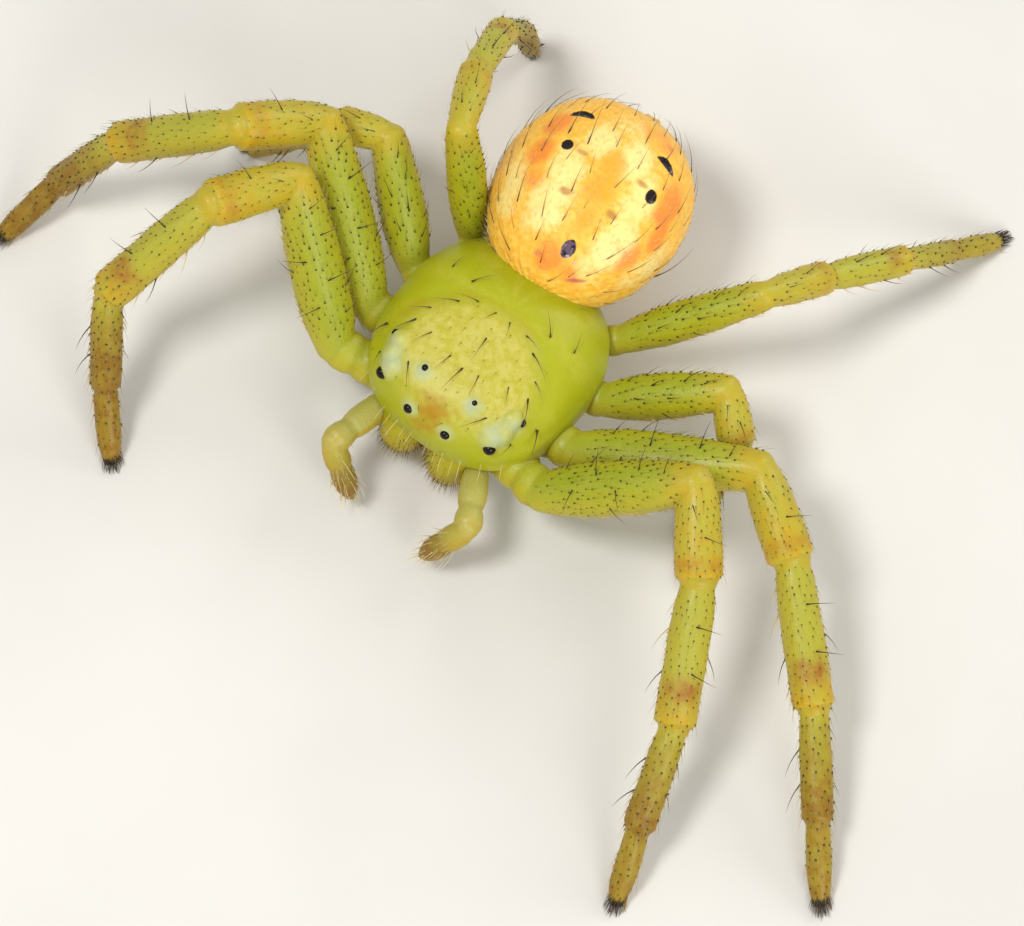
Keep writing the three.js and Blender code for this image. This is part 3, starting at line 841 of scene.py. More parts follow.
@dataclass(frozen=True)
class LegFinish:
    """Translucent yellow-green cuticle that ripens to orange at the joints and brown at the feet."""

    green: Colour = (0.29, 0.345, 0.006)
    pale: Colour = (0.395, 0.40, 0.04)
    orange: Colour = (0.55, 0.33, 0.002)
    blush: Colour = (0.32, 0.11, 0.012)
    brown: Colour = (0.25, 0.125, 0.001)
    dark: Colour = (0.02, 0.012, 0.006)
    edge: Colour = (0.52, 0.39, 0.004)
    surface: Surface = field(default_factory=lambda: Surface(
        roughness=0.46, coat=0.08, coat_roughness=0.2, translucence=0.35, scatter=(0.34, 0.26, 0.05),
        bump=0.009, gloss=0.35))

    def material(self, grain: GrainGroup, name: str) -> bpy.types.Material:
        """The finish as a material that reads the leg's tone attributes."""
        t, shader = self.surface.material(name)
        look = grain.use(t, 0.16, 0.03, 0.5)
        streak = t.ramp(look["Mottle"], 0.35, 0.68)
        colour = t.blend(t.attribute("ripe"), self.green, self.pale)
        colour = t.blend(t.times(streak, 0.3), colour, self.pale)
        colour = t.blend(t.times(t.attribute("flank"), 0.5), colour, self.edge)
        colour = t.blend(self._broken(t, "cuff", streak, 0.45), colour, self.orange)
        colour = t.blend(self._broken(t, "brown", streak, 0.7), colour, self.brown)
        colour = t.blend(self._broken(t, "blush", streak, 0.45), colour, self.blush)
        colour = t.blend(t.attribute("tip"), colour, self.dark)
        rough = t.times(look["Mottle"], 0.25, plus=self.surface.roughness - 0.12)
        self.surface.dress(t, shader, colour, rough, look["Height"])
        return bpy.data.materials[name]

    @staticmethod
    def _broken(t: Tree, name: str, streak: Any, least: float) -> bpy.types.NodeSocket:
        """A tone attribute, broken up by the mottling down to a least share."""
        return t.times(t.attribute(name), t.times(streak, 1.05 - least, plus=least))


@dataclass(frozen=True)
class ShieldFinish:
    """Smooth yellow-green shield with a creamy mottled head and white mounds round the eyes."""

    green: Colour = (0.38, 0.40, 0.004)
    olive: Colour = (0.35, 0.365, 0.003)
    pale: Colour = (0.44, 0.43, 0.03)
    rim: Colour = (0.55, 0.49, 0.02)
    head: Colour = (0.45, 0.41, 0.025)
    cream: Colour = (0.54, 0.49, 0.10)
    orange: Colour = (0.40, 0.20, 0.001)
    white: Colour = (0.42, 0.48, 0.29)
    veil: Colour = (0.45, 0.465, 0.13)
    jaw: Colour = (0.40, 0.30, 0.004)
    surface: Surface = field(default_factory=lambda: Surface(
        roughness=0.48, coat=0.08, coat_roughness=0.25, translucence=0.3, scatter=(0.3, 0.24, 0.04),
        bump=0.005, gloss=0.35))

    def material(self, grain: GrainGroup, name: str) -> bpy.types.Material:
        """The finish as a material that reads the shield's tone attributes."""
        t, shader = self.surface.material(name)
        look = grain.use(t, 0.1, 0.022, 0.4)
        cloud = t.ramp(look["Mottle"], 0.3, 0.7)
        colour = t.blend(t.attribute("olive"), self.green, self.olive)
        colour = t.blend(t.times(t.attribute("streak"), cloud), colour, self.pale)
        colour = t.blend(t.attribute("rim"), colour, self.rim)
        crown = t.blend(cloud, self.head, self.cream)
        colour = t.blend(t.attribute("head"), colour, crown)
        colour = t.blend(t.attribute("orange"), colour, self.orange)
        ragged = t.times(look["Mottle"], 0.09, plus=t.attribute("mound"))
        colour = t.blend(t.ramp(ragged, -0.02, 0.08), colour, self.veil)
        colour = t.blend(t.ramp(ragged, 0.04, 0.15), colour, self.white)
        colour = t.blend(t.attribute("jaw"), colour, self.jaw)
        rough = t.times(cloud, 0.12, plus=self.surface.roughness - 0.06)
        self.surface.dress(t, shader, colour, rough, look["Height"])
        return bpy.data.materials[name]


@dataclass(frozen=True)
class AbdomenFinish:
    """Golden orange skin with cream patches, red blotches and five dark glossy spots, the front one flecked
    with painted sheen.
    """

    gold: Colour = (0.90, 0.46, 0.04)
    yellow: Colour = (0.94, 0.57, 0.085)
    orange: Colour = (0.88, 0.36, 0.02)
    cream: Colour = (0.97, 0.76, 0.28)
    red: Colour = (0.86, 0.21, 0.03)
    plum: Colour = (0.42, 0.08, 0.10)
    spot: Colour = (0.012, 0.007, 0.008)
    painted_sheen_grey: Colour = (0.14, 0.085, 0.13)
    smudge: Colour = (0.42, 0.20, 0.04)
    surface: Surface = field(default_factory=lambda: Surface(
        roughness=0.48, coat=0.08, coat_roughness=0.25, translucence=0.25, scatter=(0.22, 0.13, 0.04),
        bump=0.012, gloss=0.35))

    def material(self, grain: GrainGroup, name: str) -> bpy.types.Material:
        """The finish as a material that reads the abdomen's pattern attributes."""
        t, shader = self.surface.material(name)
        look = grain.use(t, 0.3, 0.05, 0.75)
        fleck = grain.use(t, 0.09, 0.05, 0.5)
        wave = t.math("SUBTRACT", look["Mottle"], 0.5)
        small = t.math("SUBTRACT", fleck["Mottle"], 0.5)
        broken = t.math("ADD", t.times(wave, 1.1), t.times(small, 1.0))
        colour = t.blend(t.ramp(fleck["Mottle"], 0.35, 0.65), self.gold, self.yellow)
        for part, tone, strength in (("cream", self.cream, 0.95), ("band", self.orange, 0.75),
                                     ("red", self.red, 0.75), ("plum", self.plum, 0.8),
                                     ("smudge", self.smudge, 0.8)):
            share = t.ramp(t.math("ADD", t.attribute(part), broken), 0.12, 1.05)
            colour = t.blend(t.times(share, strength), colour, tone)
        dark = t.ramp(t.times(small, 0.03, plus=t.attribute("spot")), -0.006, 0.006)
        # Purple-grey flecks on the front spot's raised grain are painted sheen.
        painted_sheen = t.times(t.attribute("front"), t.ramp(look["Height"], 0.3, 0.6))
        colour = t.blend(dark, colour, t.blend(painted_sheen, self.spot, self.painted_sheen_grey))
        rough = t.times(dark, -0.3, plus=self.surface.roughness)
        height = t.times(look["Height"], 0.7, plus=t.times(fleck["Mottle"], 0.6))
        self.surface.dress(t, shader, colour, rough, height)
        return bpy.data.materials[name]


@dataclass(frozen=True)
class SetaFinish:
    """The horn of a seta, from its root to its tip. Setae marked as pale take the pale tone."""

    root: Colour = (0.016, 0.009, 0.004)
    tip: Colour = (0.09, 0.05, 0.012)
    pale: Colour = (0.60, 0.42, 0.15)
    darkest: float = 0.8
    variety: float = 0.3
    surface: Surface = field(default_factory=lambda: Surface(roughness=0.45, coat=0.0, bump=0.0005))

    def material(self, grain: GrainGroup, name: str) -> bpy.types.Material:
        """The finish as a material."""
        t, shader = self.surface.material(name)
        look = grain.use(t, 0.05, 0.01, 0.3)
        paling = t.times(look["Mottle"], self.variety, plus=self.darkest)
        share = t.ramp(t.attribute("along"), 0.0, paling)
        colour = t.blend(t.attribute("pale"), t.blend(share, self.root, self.tip), self.pale)
        self.surface.dress(t, shader, colour, None, look["Height"])
        return bpy.data.materials[name]


@dataclass(frozen=True)
class PlainFinish:
    """A finish of two close tones, for lenses, claws and the floor."""

    light: Colour
    deep: Colour
    mottle: float
    grain: float
    surface: Surface

    def material(self, grain: GrainGroup, name: str) -> bpy.types.Material:
        """The finish as a material."""
        t, shader = self.surface.material(name)
        look = grain.use(t, self.mottle, self.grain, 0.3)
        rough = t.times(look["Mottle"], 0.1, plus=self.surface.roughness - 0.05)
        colour = t.blend(t.ramp(look["Mottle"], 0.3, 0.7), self.light, self.deep)
        self.surface.dress(t, shader, colour, rough, look["Height"])
        return bpy.data.materials[name]


class Finishes:
    """Every material of the model, made once."""

    def __init__(self) -> None:
        """Builds the grain group and the materials that use it."""
        grain = GrainGroup()
        self.leg = LegFinish().material(grain, "leg_cuticle")
        # The palps' tones are kept dark, partly for their own translucent cuticle and partly as painted
        # shade.
        self.palp = LegFinish(
            green=(0.34, 0.30, 0.015), pale=(0.40, 0.39, 0.10), orange=(0.48, 0.28, 0.004),
            brown=(0.20, 0.12, 0.003), edge=(0.46, 0.31, 0.006),
            surface=Surface(roughness=0.45, coat=0.08, translucence=0.5, scatter=(0.3, 0.25, 0.1), bump=0.008,
                            gloss=0.4),
        ).material(grain, "palp_cuticle")
        self.under = LegFinish(
            green=(0.42, 0.41, 0.05), pale=(0.52, 0.49, 0.13)
        ).material(grain, "under_cuticle")
        self.cone = LegFinish(
            green=(0.80, 0.46, 0.06), pale=(0.84, 0.52, 0.1), edge=(0.80, 0.42, 0.04)
        ).material(grain, "spinneret_skin")
        self.shield = ShieldFinish().material(grain, "shield_cuticle")
        self.abdomen = AbdomenFinish().material(grain, "abdomen_skin")
        self.dark_seta = SetaFinish().material(grain, "dark_seta")
        self.fine_seta = SetaFinish(
            root=(0.022, 0.012, 0.003), tip=(0.30, 0.27, 0.03), darkest=-0.4, variety=1.3
        ).material(grain, "fine_seta")
        self.brown_seta = SetaFinish(
            root=(0.03, 0.014, 0.004), tip=(0.26, 0.15, 0.03)
        ).material(grain, "brown_seta")
        self.tawny_seta = SetaFinish(
            root=(0.10, 0.05, 0.01), tip=(0.42, 0.28, 0.07)
        ).material(grain, "tawny_seta")
        self.pale_seta = SetaFinish(
            root=(0.50, 0.38, 0.14), tip=(0.85, 0.78, 0.52), pale=(0.9, 0.85, 0.65)
        ).material(grain, "pale_seta")
        self.lens = PlainFinish((0.006, 0.003, 0.003), (0.012, 0.005, 0.004), 0.05, 0.02, Surface(
            roughness=0.14, coat=0.0, bump=0.0001, gloss=0.24)).material(grain, "eye_lens")
        self.claw = PlainFinish((0.05, 0.025, 0.012), (0.02, 0.012, 0.008), 0.05, 0.01, Surface(
            roughness=0.3, coat=0.4, bump=0.0005)).material(grain, "claw_horn")
        self.floor = PlainFinish((0.70, 0.69, 0.66), (0.66, 0.65, 0.62), 6.0, 0.4, Surface(
            roughness=0.7, coat=0.0, bump=0.004, gloss=0.3)).material(grain, "showcase_floor")


# The legs


class Leg:
    """One leg: its joints, its skin, its setae and its claws."""

    VOXEL = 0.023
    SWELL = 0.006
    SWELL_PITCH = 0.5
    TUFT_REACH = 0.18
    fine = Seta(thickness=0.016, bend=0.2, lean=62, spread=0.16, shortest=0.5, socket=4.0, spacing=0.083)
    stout = Seta(
        thickness=0.021, bend=0.26, lean=48, spread=0.14, shortest=0.85, socket=0.7, steps=10, sides=6
    )
    tuft = Seta(thickness=0.034, bend=0.15, lean=68, spread=0.22, shortest=0.6, socket=0.0, spacing=0.024)

    # Stout setae of a segment: share of its length, turn from its upper side towards the head,
    # length, and heading from the way to the foot towards the head. The hind legs' all lie along it.
    STOUT = {
        Segment.FEMUR: ((0.44, -6, 0.4, -78), (0.7, -14, 0.4, -66), (0.3, 24, 0.34, 100),
                        (0.57, 30, 0.36, 70), (0.22, -30, 0.3, -60), (0.86, -4, 0.34, -50),
                        (0.5, 72, 0.32, 40), (0.36, -48, 0.32, -40)),
        Segment.PATELLA: ((0.55, -10, 0.34, -70), (0.22, 20, 0.28, -20)),
        Segment.TIBIA: ((0.3, -12, 0.4, -75), (0.62, -20, 0.38, -75), (0.34, 105, 0.42, -20),
                        (0.64, 98, 0.36, 0), (0.16, 112, 0.3, 0), (0.84, 116, 0.26, 0),
                        (0.5, -100, 0.34, 0), (0.3, -140, 0.34, 0), (0.66, -140, 0.34, 0)),
        Segment.METATARSUS: ((0.35, 95, 0.42, 0), (0.66, 98, 0.4, 0), (0.3, -125, 0.28, 0),
                             (0.62, -110, 0.26, 0), (0.16, -60, 0.24, 0)),
        Segment.COXA: ((0.45, 5, 0.16, 0),),
    }
    PALE_TURN = 100

    def __init__(self, number: int, side: Side) -> None:
        """Works out the joints of one leg."""
        self.number, self.side = number, side
        self.pair = LEG_PAIRS[number - 1]
        self.name = f"leg_{number}_{side.word}"
        self.radii = (COXA_TAPER * self.pair.radii[0], *self.pair.radii)
        self.joints = self._joints()
        self.spans = np.linalg.norm(np.diff(self.joints, axis=0), axis=1)
        self.starts = np.concatenate([[0], np.cumsum(self.spans)])

    def _joints(self) -> np.ndarray:
        """The centres of the joints, from the root of the coxa to the tip."""
        *bends, last = LEG_POSES[self.side][self.number - 1]
        joints = [self.side.of(self.pair.coxa), self.side.of(self.pair.hip)]
        for (bearing, rise), length in zip(bends, self.pair.lengths):
            joints.append(joints[-1] + length * self.side.way(bearing, rise))
        drop = math.degrees(math.asin((TIP_HEIGHT - joints[-1][2]) / self.pair.lengths[-1]))
        joints.append(joints[-1] + self.pair.lengths[-1] * self.side.way(last, drop))
        return np.array(joints)

    def locate(self, points: np.ndarray) -> tuple[np.ndarray, np.ndarray, np.ndarray, np.ndarray]:
        """Finds where points lie on the leg.

        Args:
            points: Places on or near the skin.

        Returns:
            For each point its segment's number, the share of that segment's length, the turn round
            it from its upper side, and the direction towards the foot.
        """
        best = np.full(len(points), np.inf)
        number, share, turn = np.zeros(len(points), int), np.zeros(len(points)), np.zeros(len(points))
        lie = np.zeros((len(points), 3))
        for segment in Segment:
            i = segment.number
            start, length = self.joints[i], self.spans[i]
            way = (self.joints[i + 1] - start) / length
            up, across = frame_along(way)
            off = points - start
            along = off @ way / length
            held = np.clip(along, 0, 1)
            radius = self.radii[i] * smooth_curve(segment.value, held)
            gap = np.abs(np.linalg.norm(off - (held * length)[:, None] * way, axis=1) - radius)
            nearer = gap < best
            best[nearer] = gap[nearer]
            number[nearer], share[nearer] = i, along[nearer]
            turn[nearer] = np.arctan2(off[nearer] @ across, off[nearer] @ up)
            lie[nearer] = way
        return number, share, turn, lie

    def unwrap(self, points: np.ndarray) -> np.ndarray:
        """Where points of the leg lie on its unwrap: along the leg, and round it."""
        number, share, turn, _ = self.locate(points)
        along = (self.starts[number] + np.clip(share, 0, 1) * self.spans[number]) / self.starts[-1]
        return np.stack([0.02 + 0.96 * along, 0.5 + 0.48 * turn / math.pi], 1)

    def skin(self, finishes: Finishes) -> bpy.types.Object:
        """The skin of the whole leg in one piece, from the coxa to the tip."""
        shells = [
            limb_shell(self.joints[s.number], self.joints[s.number + 1], self.radii[s.number], s.value)
            for s in Segment
        ]
        made = fused(f"{self.name}_skin", shells, self.VOXEL, 3)
        points = points_of(made)
        points += normals_of(made) * (self.SWELL * unevenness(points, self.SWELL_PITCH))[:, None]
        points[:, 2] = np.maximum(points[:, 2], 0.0)
        set_points(made, points)
        self._tone(made, points)
        made.data.materials.append(finishes.leg)
        return made

    def _tone(self, made: bpy.types.Object, points: np.ndarray) -> None:
        """Writes the colours' shares and the lie, cover and reach of the setae on the skin."""
        number, share, turn, lie = self.locate(points)
        station = number + np.clip(share, 0, 1)
        upper = ease(-0.4, 0.7, np.cos(turn))
        at = lambda curve: smooth_curve(curve, station)
        hind = 0.75 if self.number > 2 else 1.0
        cuff = at(((0, 0), (1.8, 0), (1.98, 0.6), (2.3, 0.4), (2.6, 0.6), (2.92, 1), (3.01, 0.5), (3.1, 0.1),
                   (3.6, 0.12), (3.8, 0.55), (3.97, 0.9), (4.05, 0.15), (4.5, 0.25), (5, 0.4), (5.4, 0.3),
                   (6, 0.7)))
        brown = at(((0, 0), (4.02, 0.1), (4.2, 0.4), (4.6, 0.75), (4.93, 1.1), (5.08, 0.75), (5.5, 0.8),
                    (5.9, 0.95), (6, 1)))
        across = np.exp(-((np.cos(turn) - 1) / 0.45) ** 2)
        blush = at(((0, 0), (3.6, 0), (3.74, 0.95), (3.84, 0.3), (3.95, 0), (6, 0))) * across
        blush += 0.5 * at(((0, 0), (2.7, 0), (2.85, 0.8), (2.95, 0), (6, 0))) * upper
        bare = at(((0, 0), (0.6, 0), (1.03, 0), (1.12, 1), (1.93, 1), (2, 0.2), (2.1, 0.9), (2.95, 1),
                   (3, 0.2), (3.08, 1), (6, 1)))
        off_floor = ease(0.02, 0.16, points[:, 2])
        store(
            made,
            ripe=at(((0, 0.8), (0.9, 0.7), (1.25, 0.1), (1.7, 0.2), (1.95, 0.8), (2.5, 1), (3, 0.9),
                     (3.3, 0.9), (4, 1), (4.3, 0.85), (6, 0.9))),
            cuff=hind * cuff,
            # The side's factor browns the right feet further, as painted shade.
            brown=np.clip((0.6 if self.number > 2 else 1.0) * self.side.shade * brown, 0, 1.1),
            blush=hind * blush,
            tip=at(((0, 0), (5.93, 0), (5.99, 0.9), (6, 0.95))),
            flank=np.sin(turn) ** 2,
            pale=ease(-0.2, 0.3, 0.1 - np.cos(turn) + 0.3 * unevenness(points, 0.2)),
            lie=lie,
            cover=bare * (0.35 + 0.65 * ease(-0.9, 0.2, np.cos(turn))) * off_floor,
            reach=at(((0, 0.1), (1, 0.16), (1.3, 0.22), (1.8, 0.22), (2.5, 0.17), (3.5, 0.17), (4.2, 0.23),
                      (5.2, 0.24), (6, 0.17))),
        )

    def bristles(self, trees: SetaTrees, finishes: Finishes) -> bpy.types.Object:
        """The stout setae, at their places round each segment."""
        roots = Roots()
        size = self.pair.radii[0] / LEG_PAIRS[0].radii[0]
        for segment, places in self.STOUT.items():
            i = segment.number
            start, end = self.joints[i], self.joints[i + 1]
            way = unit(end - start)
            up, ahead = frame_along(way)
            ahead = -ahead if ahead[1] > 0 else ahead
            for share, degrees, length, sweep in places:
                turn, heading = math.radians(degrees), math.radians(sweep if self.number < 3 else 0)
                out = math.cos(turn) * up + math.sin(turn) * ahead
                beside = math.cos(turn) * ahead - math.sin(turn) * up
                lie = math.cos(heading) * way + math.sin(heading) * beside
                radius = self.radii[i] * float(smooth_curve(segment.value, np.array([share]))[0])
                place = start + share * (end - start) + (radius - 0.01) * out
                roots.add(place, out, lie, length * (0.5 + 0.5 * size), float(degrees > self.PALE_TURN))
        ground = roots.mesh(f"{self.name}_roots")
        return self.stout.grow(trees, f"{self.name}_bristles", ground, finishes.dark_seta, self.unwrap,
                               SEED + self.number, placed=True)

    def claws(self) -> bpy.types.Object:
        """Two hooked claws at the tip."""
        ankle, tip = self.joints[-2], self.joints[-1]
        ahead = unit((tip - ankle) * np.array([1, 1, 0]))
        across = np.array([-ahead[1], ahead[0], 0.0])
        shells = []
        for way in (-1, 1):
            path = [tip + ahead * (0.06 + 0.05 * k) + across * way * (0.02 + 0.012 * k) for k in range(4)]
            for place, height in zip(path, (0.08, 0.105, 0.085, 0.045)):
                place[2] = height
            for k, (radius, narrowing) in enumerate(((0.026, 0.8), (0.022, 0.8), (0.014, 0.25))):
                shells.append(limb_shell(path[k], path[k + 1], radius, ((0, 1), (1, narrowing)), 12))
        return fused(f"{self.name}_hooks", shells, 0.006, 1)

    def _ready_for_tuft(self, skin: bpy.types.Object) -> None:
        """Leaves the skin covered at the tip of the foot alone, once the fine setae have grown."""
        points = points_of(skin)
        number, share, _, _ = self.locate(points)
        at_tip = ease(0.86, 1.0, share) * (number == Segment.TARSUS.number) * (points[:, 2] > 0.04)
        store(skin, cover=at_tip, reach=self.TUFT_REACH)

    def build(self, trees: SetaTrees, finishes: Finishes) -> None:
        """Builds and dresses the whole leg."""
        skin = self.skin(finishes)
        seed = SEED + 10 * self.number + self.side.value
        setae = self.fine.grow(trees, f"{self.name}_setae", skin, finishes.fine_seta, self.unwrap, seed)
        self._ready_for_tuft(skin)
        tuft = self.tuft.grow(trees, f"{self.name}_tuft", skin, finishes.dark_seta, self.unwrap, seed + 1)
        bristles = self.bristles(trees, finishes)
        claws = self.claws()
        claws.data.materials.append(finishes.claw)
        settle(skin, [f"{self.name}_{part}" for part in ("femur", "tibia", "foot")])
        for made in (setae, tuft, bristles):
            settle(made)
        settle(claws, [f"{self.name}_claws"])


# The carapace with its eyes


@dataclass(frozen=True)
class ShieldShape:
    """The sizes of the carapace: a rounded shield, squarer at the head than behind."""

    centre_y: float = 0.1
    half_width: float = 1.42
    front_reach: float = 1.6
    back_reach: float = 1.42
    front_squareness: float = 2.6
    back_squareness: float = 2.3
    rim_z: float = 1.2
    underside_z: float = 1.1
    dome_height: float = 0.92
    front_steepness: float = 2.8
    back_steepness: float = 2.1

    def rim_reach(self, turn: np.ndarray) -> np.ndarray:
        """The distance to the rim on a bearing counted from +X."""
        ahead = np.sin(turn) < 0
        reach = np.where(ahead, self.front_reach, self.back_reach)
        power = np.where(ahead, self.front_squareness, self.back_squareness)
        across, along = np.abs(np.cos(turn)) / self.half_width, np.abs(np.sin(turn)) / reach
        return (across**power + along**power) ** (-1 / power)

    def dome_z(self, turn: np.ndarray, share: np.ndarray) -> np.ndarray:
        """The height of the dome at a share of the way to the rim."""
        ahead = (1 - np.sin(turn)) / 2
        power = self.back_steepness + (self.front_steepness - self.back_steepness) * ahead
        return self.rim_z + self.dome_height * np.maximum(0, 1 - share**power) ** (1 / power)

    def polar(self, points: np.ndarray) -> tuple[np.ndarray, np.ndarray]:
        """The turn of points and their share of the way to the rim, seen from above."""
        x, y = points[:, 0], points[:, 1] - self.centre_y
        turn = np.arctan2(y, x)
        return turn, np.hypot(x, y) / self.rim_reach(turn)

    def surface(self, x: float, y: float) -> np.ndarray:
        """The point of the dome above a place."""
        turn, share = self.polar(np.array([[x, y, 0.0]]))
        return np.array([x, y, float(self.dome_z(turn, np.minimum(share, 0.999))[0])])


class Carapace:
    """The shield, the mounds and lenses of the eyes, and the curved bristles round the head."""

    shape = ShieldShape()
    VOXEL = 0.02
    HEAD_CENTRE = (0.0, -0.62)
    HEAD_RADII = (1.02, 0.86)
    WHITE_BLEND = 0.07
    BRISTLE_GAIN = 1.12
    FURROW_Y = 0.35
    RAYS = 10
    bristle = Seta(
        thickness=0.018, bend=0.42, lean=58, spread=0.05, shortest=0.88, socket=1.3, steps=12, sides=6
    )
    fringe = Seta(thickness=0.016, bend=0.3, lean=50, spread=0.12, shortest=0.7, socket=0.6, steps=9, sides=5)
    down = Seta(thickness=0.03, bend=0.3, lean=60, spread=0.2, shortest=0.5, socket=2.2, spacing=0.14)

    # Bristles of the left half: x, y, heading from straight ahead towards the left, length.
    BRISTLES = (
        (0.88, -0.46, 30, 0.42), (0.82, -0.23, 58, 0.28), (0.58, 0.04, 60, 0.36), (0.38, 0.18, 72, 0.28),
        (0.11, 0.19, 20, 0.24), (1.18, -0.64, 35, 0.42), (1.03, -0.99, 2, 0.24), (0.62, 0.37, -132, 0.36),
        (0.96, 0.43, -158, 0.28), (0.6, -0.5, 26, 0.3), (0.62, -0.97, -32, 0.36), (0.22, -0.62, 12, 0.3),
        (0.2, -1.3, -25, 0.16),
    )
    MIDDLE_BRISTLES = ((0.0, -0.67, -6, 0.4), (0.0, -0.16, 4, 0.36))
    LIP_BRISTLES = ((0.12, -1.5, 1.4, 0.36), (0.36, -1.49, 1.38, 0.42), (0.6, -1.45, 1.4, 0.38),
                    (0.84, -1.33, 1.4, 0.34), (1.04, -1.15, 1.42, 0.3), (0.25, -1.48, 1.3, 0.26),
                    (0.5, -1.46, 1.3, 0.28))

    def skin(self, finishes: Finishes) -> bpy.types.Object:
        """The shield with its eye mounds as one skin."""
        shells = [self._dome()]
        for side in Side:
            for eye in EYES:
                looks = unit(side.of(eye.looks))
                centre = side.of(eye.at) + (0.4 * eye.lens - eye.mound) * looks + np.array([0, 0, eye.brow])
                shells.append(ball_shell(centre, (eye.mound, eye.mound, eye.mound * 0.98), looks))
            shells.append(ball_shell(side.of((0.88, -0.93, 1.73)), (0.18, 0.15, 0.2)))
        made = fused("carapace_skin", shells, self.VOXEL, 8)
        points = points_of(made)
        points = points + normals_of(made) * self._relief(points)[:, None]
        set_points(made, points)
        self._tone(made, points)
        made.data.materials.append(finishes.shield)
        return made

    def _dome(self) -> Shell:
        """The closed dome with a rounded rim."""
        s = self.shape
        shares = np.concatenate([np.linspace(0, 0.9, 40)[1:], np.linspace(0.9, 1, 14)[1:] ** 0.8])
        turn = np.linspace(0, 2 * math.pi, 160, endpoint=False)
        reach = s.rim_reach(turn)
        rings = []
        for share in shares:
            z = s.dome_z(turn, np.full_like(turn, share))
            rings.append(self._ring(turn, reach * share, z))
        for share, drop in ((0.997, 0.35), (0.985, 0.7), (0.96, 0.95), (0.9, 1), (0.6, 1), (0.2, 1)):
            z = np.full_like(turn, s.rim_z + (s.underside_z - s.rim_z) * drop)
            rings.append(self._ring(turn, reach * share, z))
        top = np.array([0, s.centre_y, s.rim_z + s.dome_height])
        bottom = np.array([0, s.centre_y, s.underside_z])
        shell = Shell.of_rings(np.array(rings), top, bottom)
        return Shell(shell.points, [tuple(reversed(face)) for face in shell.faces])

    def _ring(self, turn: np.ndarray, reach: np.ndarray, z: np.ndarray) -> np.ndarray:
        """A ring of points round the middle of the shield."""
        return np.stack([reach * np.cos(turn), self.shape.centre_y + reach * np.sin(turn), z], 1)

    def _head_share(self, points: np.ndarray) -> np.ndarray:
        """1 in the middle of the head, 0 at its edge, seen from above."""
        x = (points[:, 0] - self.HEAD_CENTRE[0]) / self.HEAD_RADII[0]
        y = (points[:, 1] - self.HEAD_CENTRE[1]) / self.HEAD_RADII[1]
        return 1 - np.hypot(x, y)

    def _relief(self, points: np.ndarray) -> np.ndarray:
        """The small rise of the head, the furrows behind it and the swell of the rim."""
        _, share = self.shape.polar(points)
        on_top = ease(1.25, 1.4, points[:, 2])
        head = self._head_share(points)
        rise = 0.03 * ease(-0.12, 0.2, head) - 0.008 * np.exp(-(((head + 0.12) / 0.1) ** 2))
        bead = 0.018 * np.exp(-(((share - 0.985) / 0.02) ** 2)) * (1 - 0.8 * ease(0.9, 1.3, -points[:, 1]))
        return on_top * rise + bead + 0.005 * unevenness(points, 0.45)

    def _tone(self, made: bpy.types.Object, points: np.ndarray) -> None:
        """Writes the colours' shares and the lie of the down."""
        _, share = self.shape.polar(points)
        head = self._head_share(points)
        ahead = ease(1.0, 1.4, -points[:, 1])
        top = ease(1.5, 1.8, points[:, 2])
        back = ease(0.3, 1.0, points[:, 1])
        bearing = np.arctan2(points[:, 1] - self.FURROW_Y, points[:, 0])
        rays = np.cos(self.RAYS * bearing + 0.8 * unevenness(points, 0.9))
        between = np.hypot(points[:, 0] / 0.25, (points[:, 1] + 1.31) / 0.17)
        between = between + 0.35 * unevenness(points, 0.12)
        furrow = np.exp(-(((head + 0.08) / 0.1) ** 2)) * top * ease(-0.2, 0.8, unevenness(points, 0.7))
        depths = [eye.white - np.linalg.norm(points - side.of(eye.white_at), axis=1)
                  for side in Side for eye in EYES]
        mound = np.log(np.exp(np.array(depths) / self.WHITE_BLEND).sum(0)) * self.WHITE_BLEND
        store(
            made,
            head=ease(-0.14, 0.25, head) * top * (1 - 0.6 * ahead),
            olive=np.clip(back * 0.7 + 0.6 * ahead, 0, 1),
            streak=0.7 * ease(-0.3, 1.0, rays) * (1 - ease(-0.2, 0.1, head)) * (1 - ahead),
            rim=ease(0.965, 1.0, share) * (1 - ease(1.25, 1.4, points[:, 2])) * (1 - ahead),
            orange=0.9 * (1 - ease(0.1, 1.6, between)) + 0.22 * furrow * (1 - ahead),
            mound=mound,
            jaw=0.0,
            lie=(0.0, -1.0, 0.0),
            cover=(mound < -0.02) * (0.12 + 0.88 * top * ease(0, 0.2, head)),
            reach=0.09,
        )

    def unwrap(self, points: np.ndarray) -> np.ndarray:
        """Where points of the shield lie on its unwrap, round its crown."""
        turn, share = self.shape.polar(points)
        reach = 0.47 * np.minimum(share, 1)
        return np.stack([0.5 + reach * np.cos(turn), 0.5 + reach * np.sin(turn)], 1)

    def _bristle_roots(self) -> bpy.types.Object:
        """The roots of the curved bristles on both halves."""
        rows = [(side.value * x, y, side.value * heading, length)
                for side in Side for x, y, heading, length in self.BRISTLES]
        roots = Roots()
        for x, y, heading, length in (*rows, *self.MIDDLE_BRISTLES):
            out = self._outward(x, y)
            h = math.radians(heading)
            flat = np.array([math.sin(h), -math.cos(h), 0.0])
            lie = unit(flat - out * (flat @ out))
            roots.add(self.shape.surface(x, y) + 0.015 * out, out, lie, self.BRISTLE_GAIN * length)
        return roots.mesh("head_roots")

    def _fringe_roots(self) -> bpy.types.Object:
        """The roots of the pale bristles over the mouthparts."""
        roots = Roots()
        for side in Side:
            for x, y, z, length in self.LIP_BRISTLES:
                out = unit(np.array([side.value * x * 0.5, -1.0, -0.05]))
                lie = unit(np.array([side.value * 0.1, -0.35, -1.0]))
                roots.add(np.array([side.value * x, y, z]), out, lie, length)
        return roots.mesh("lip_roots")

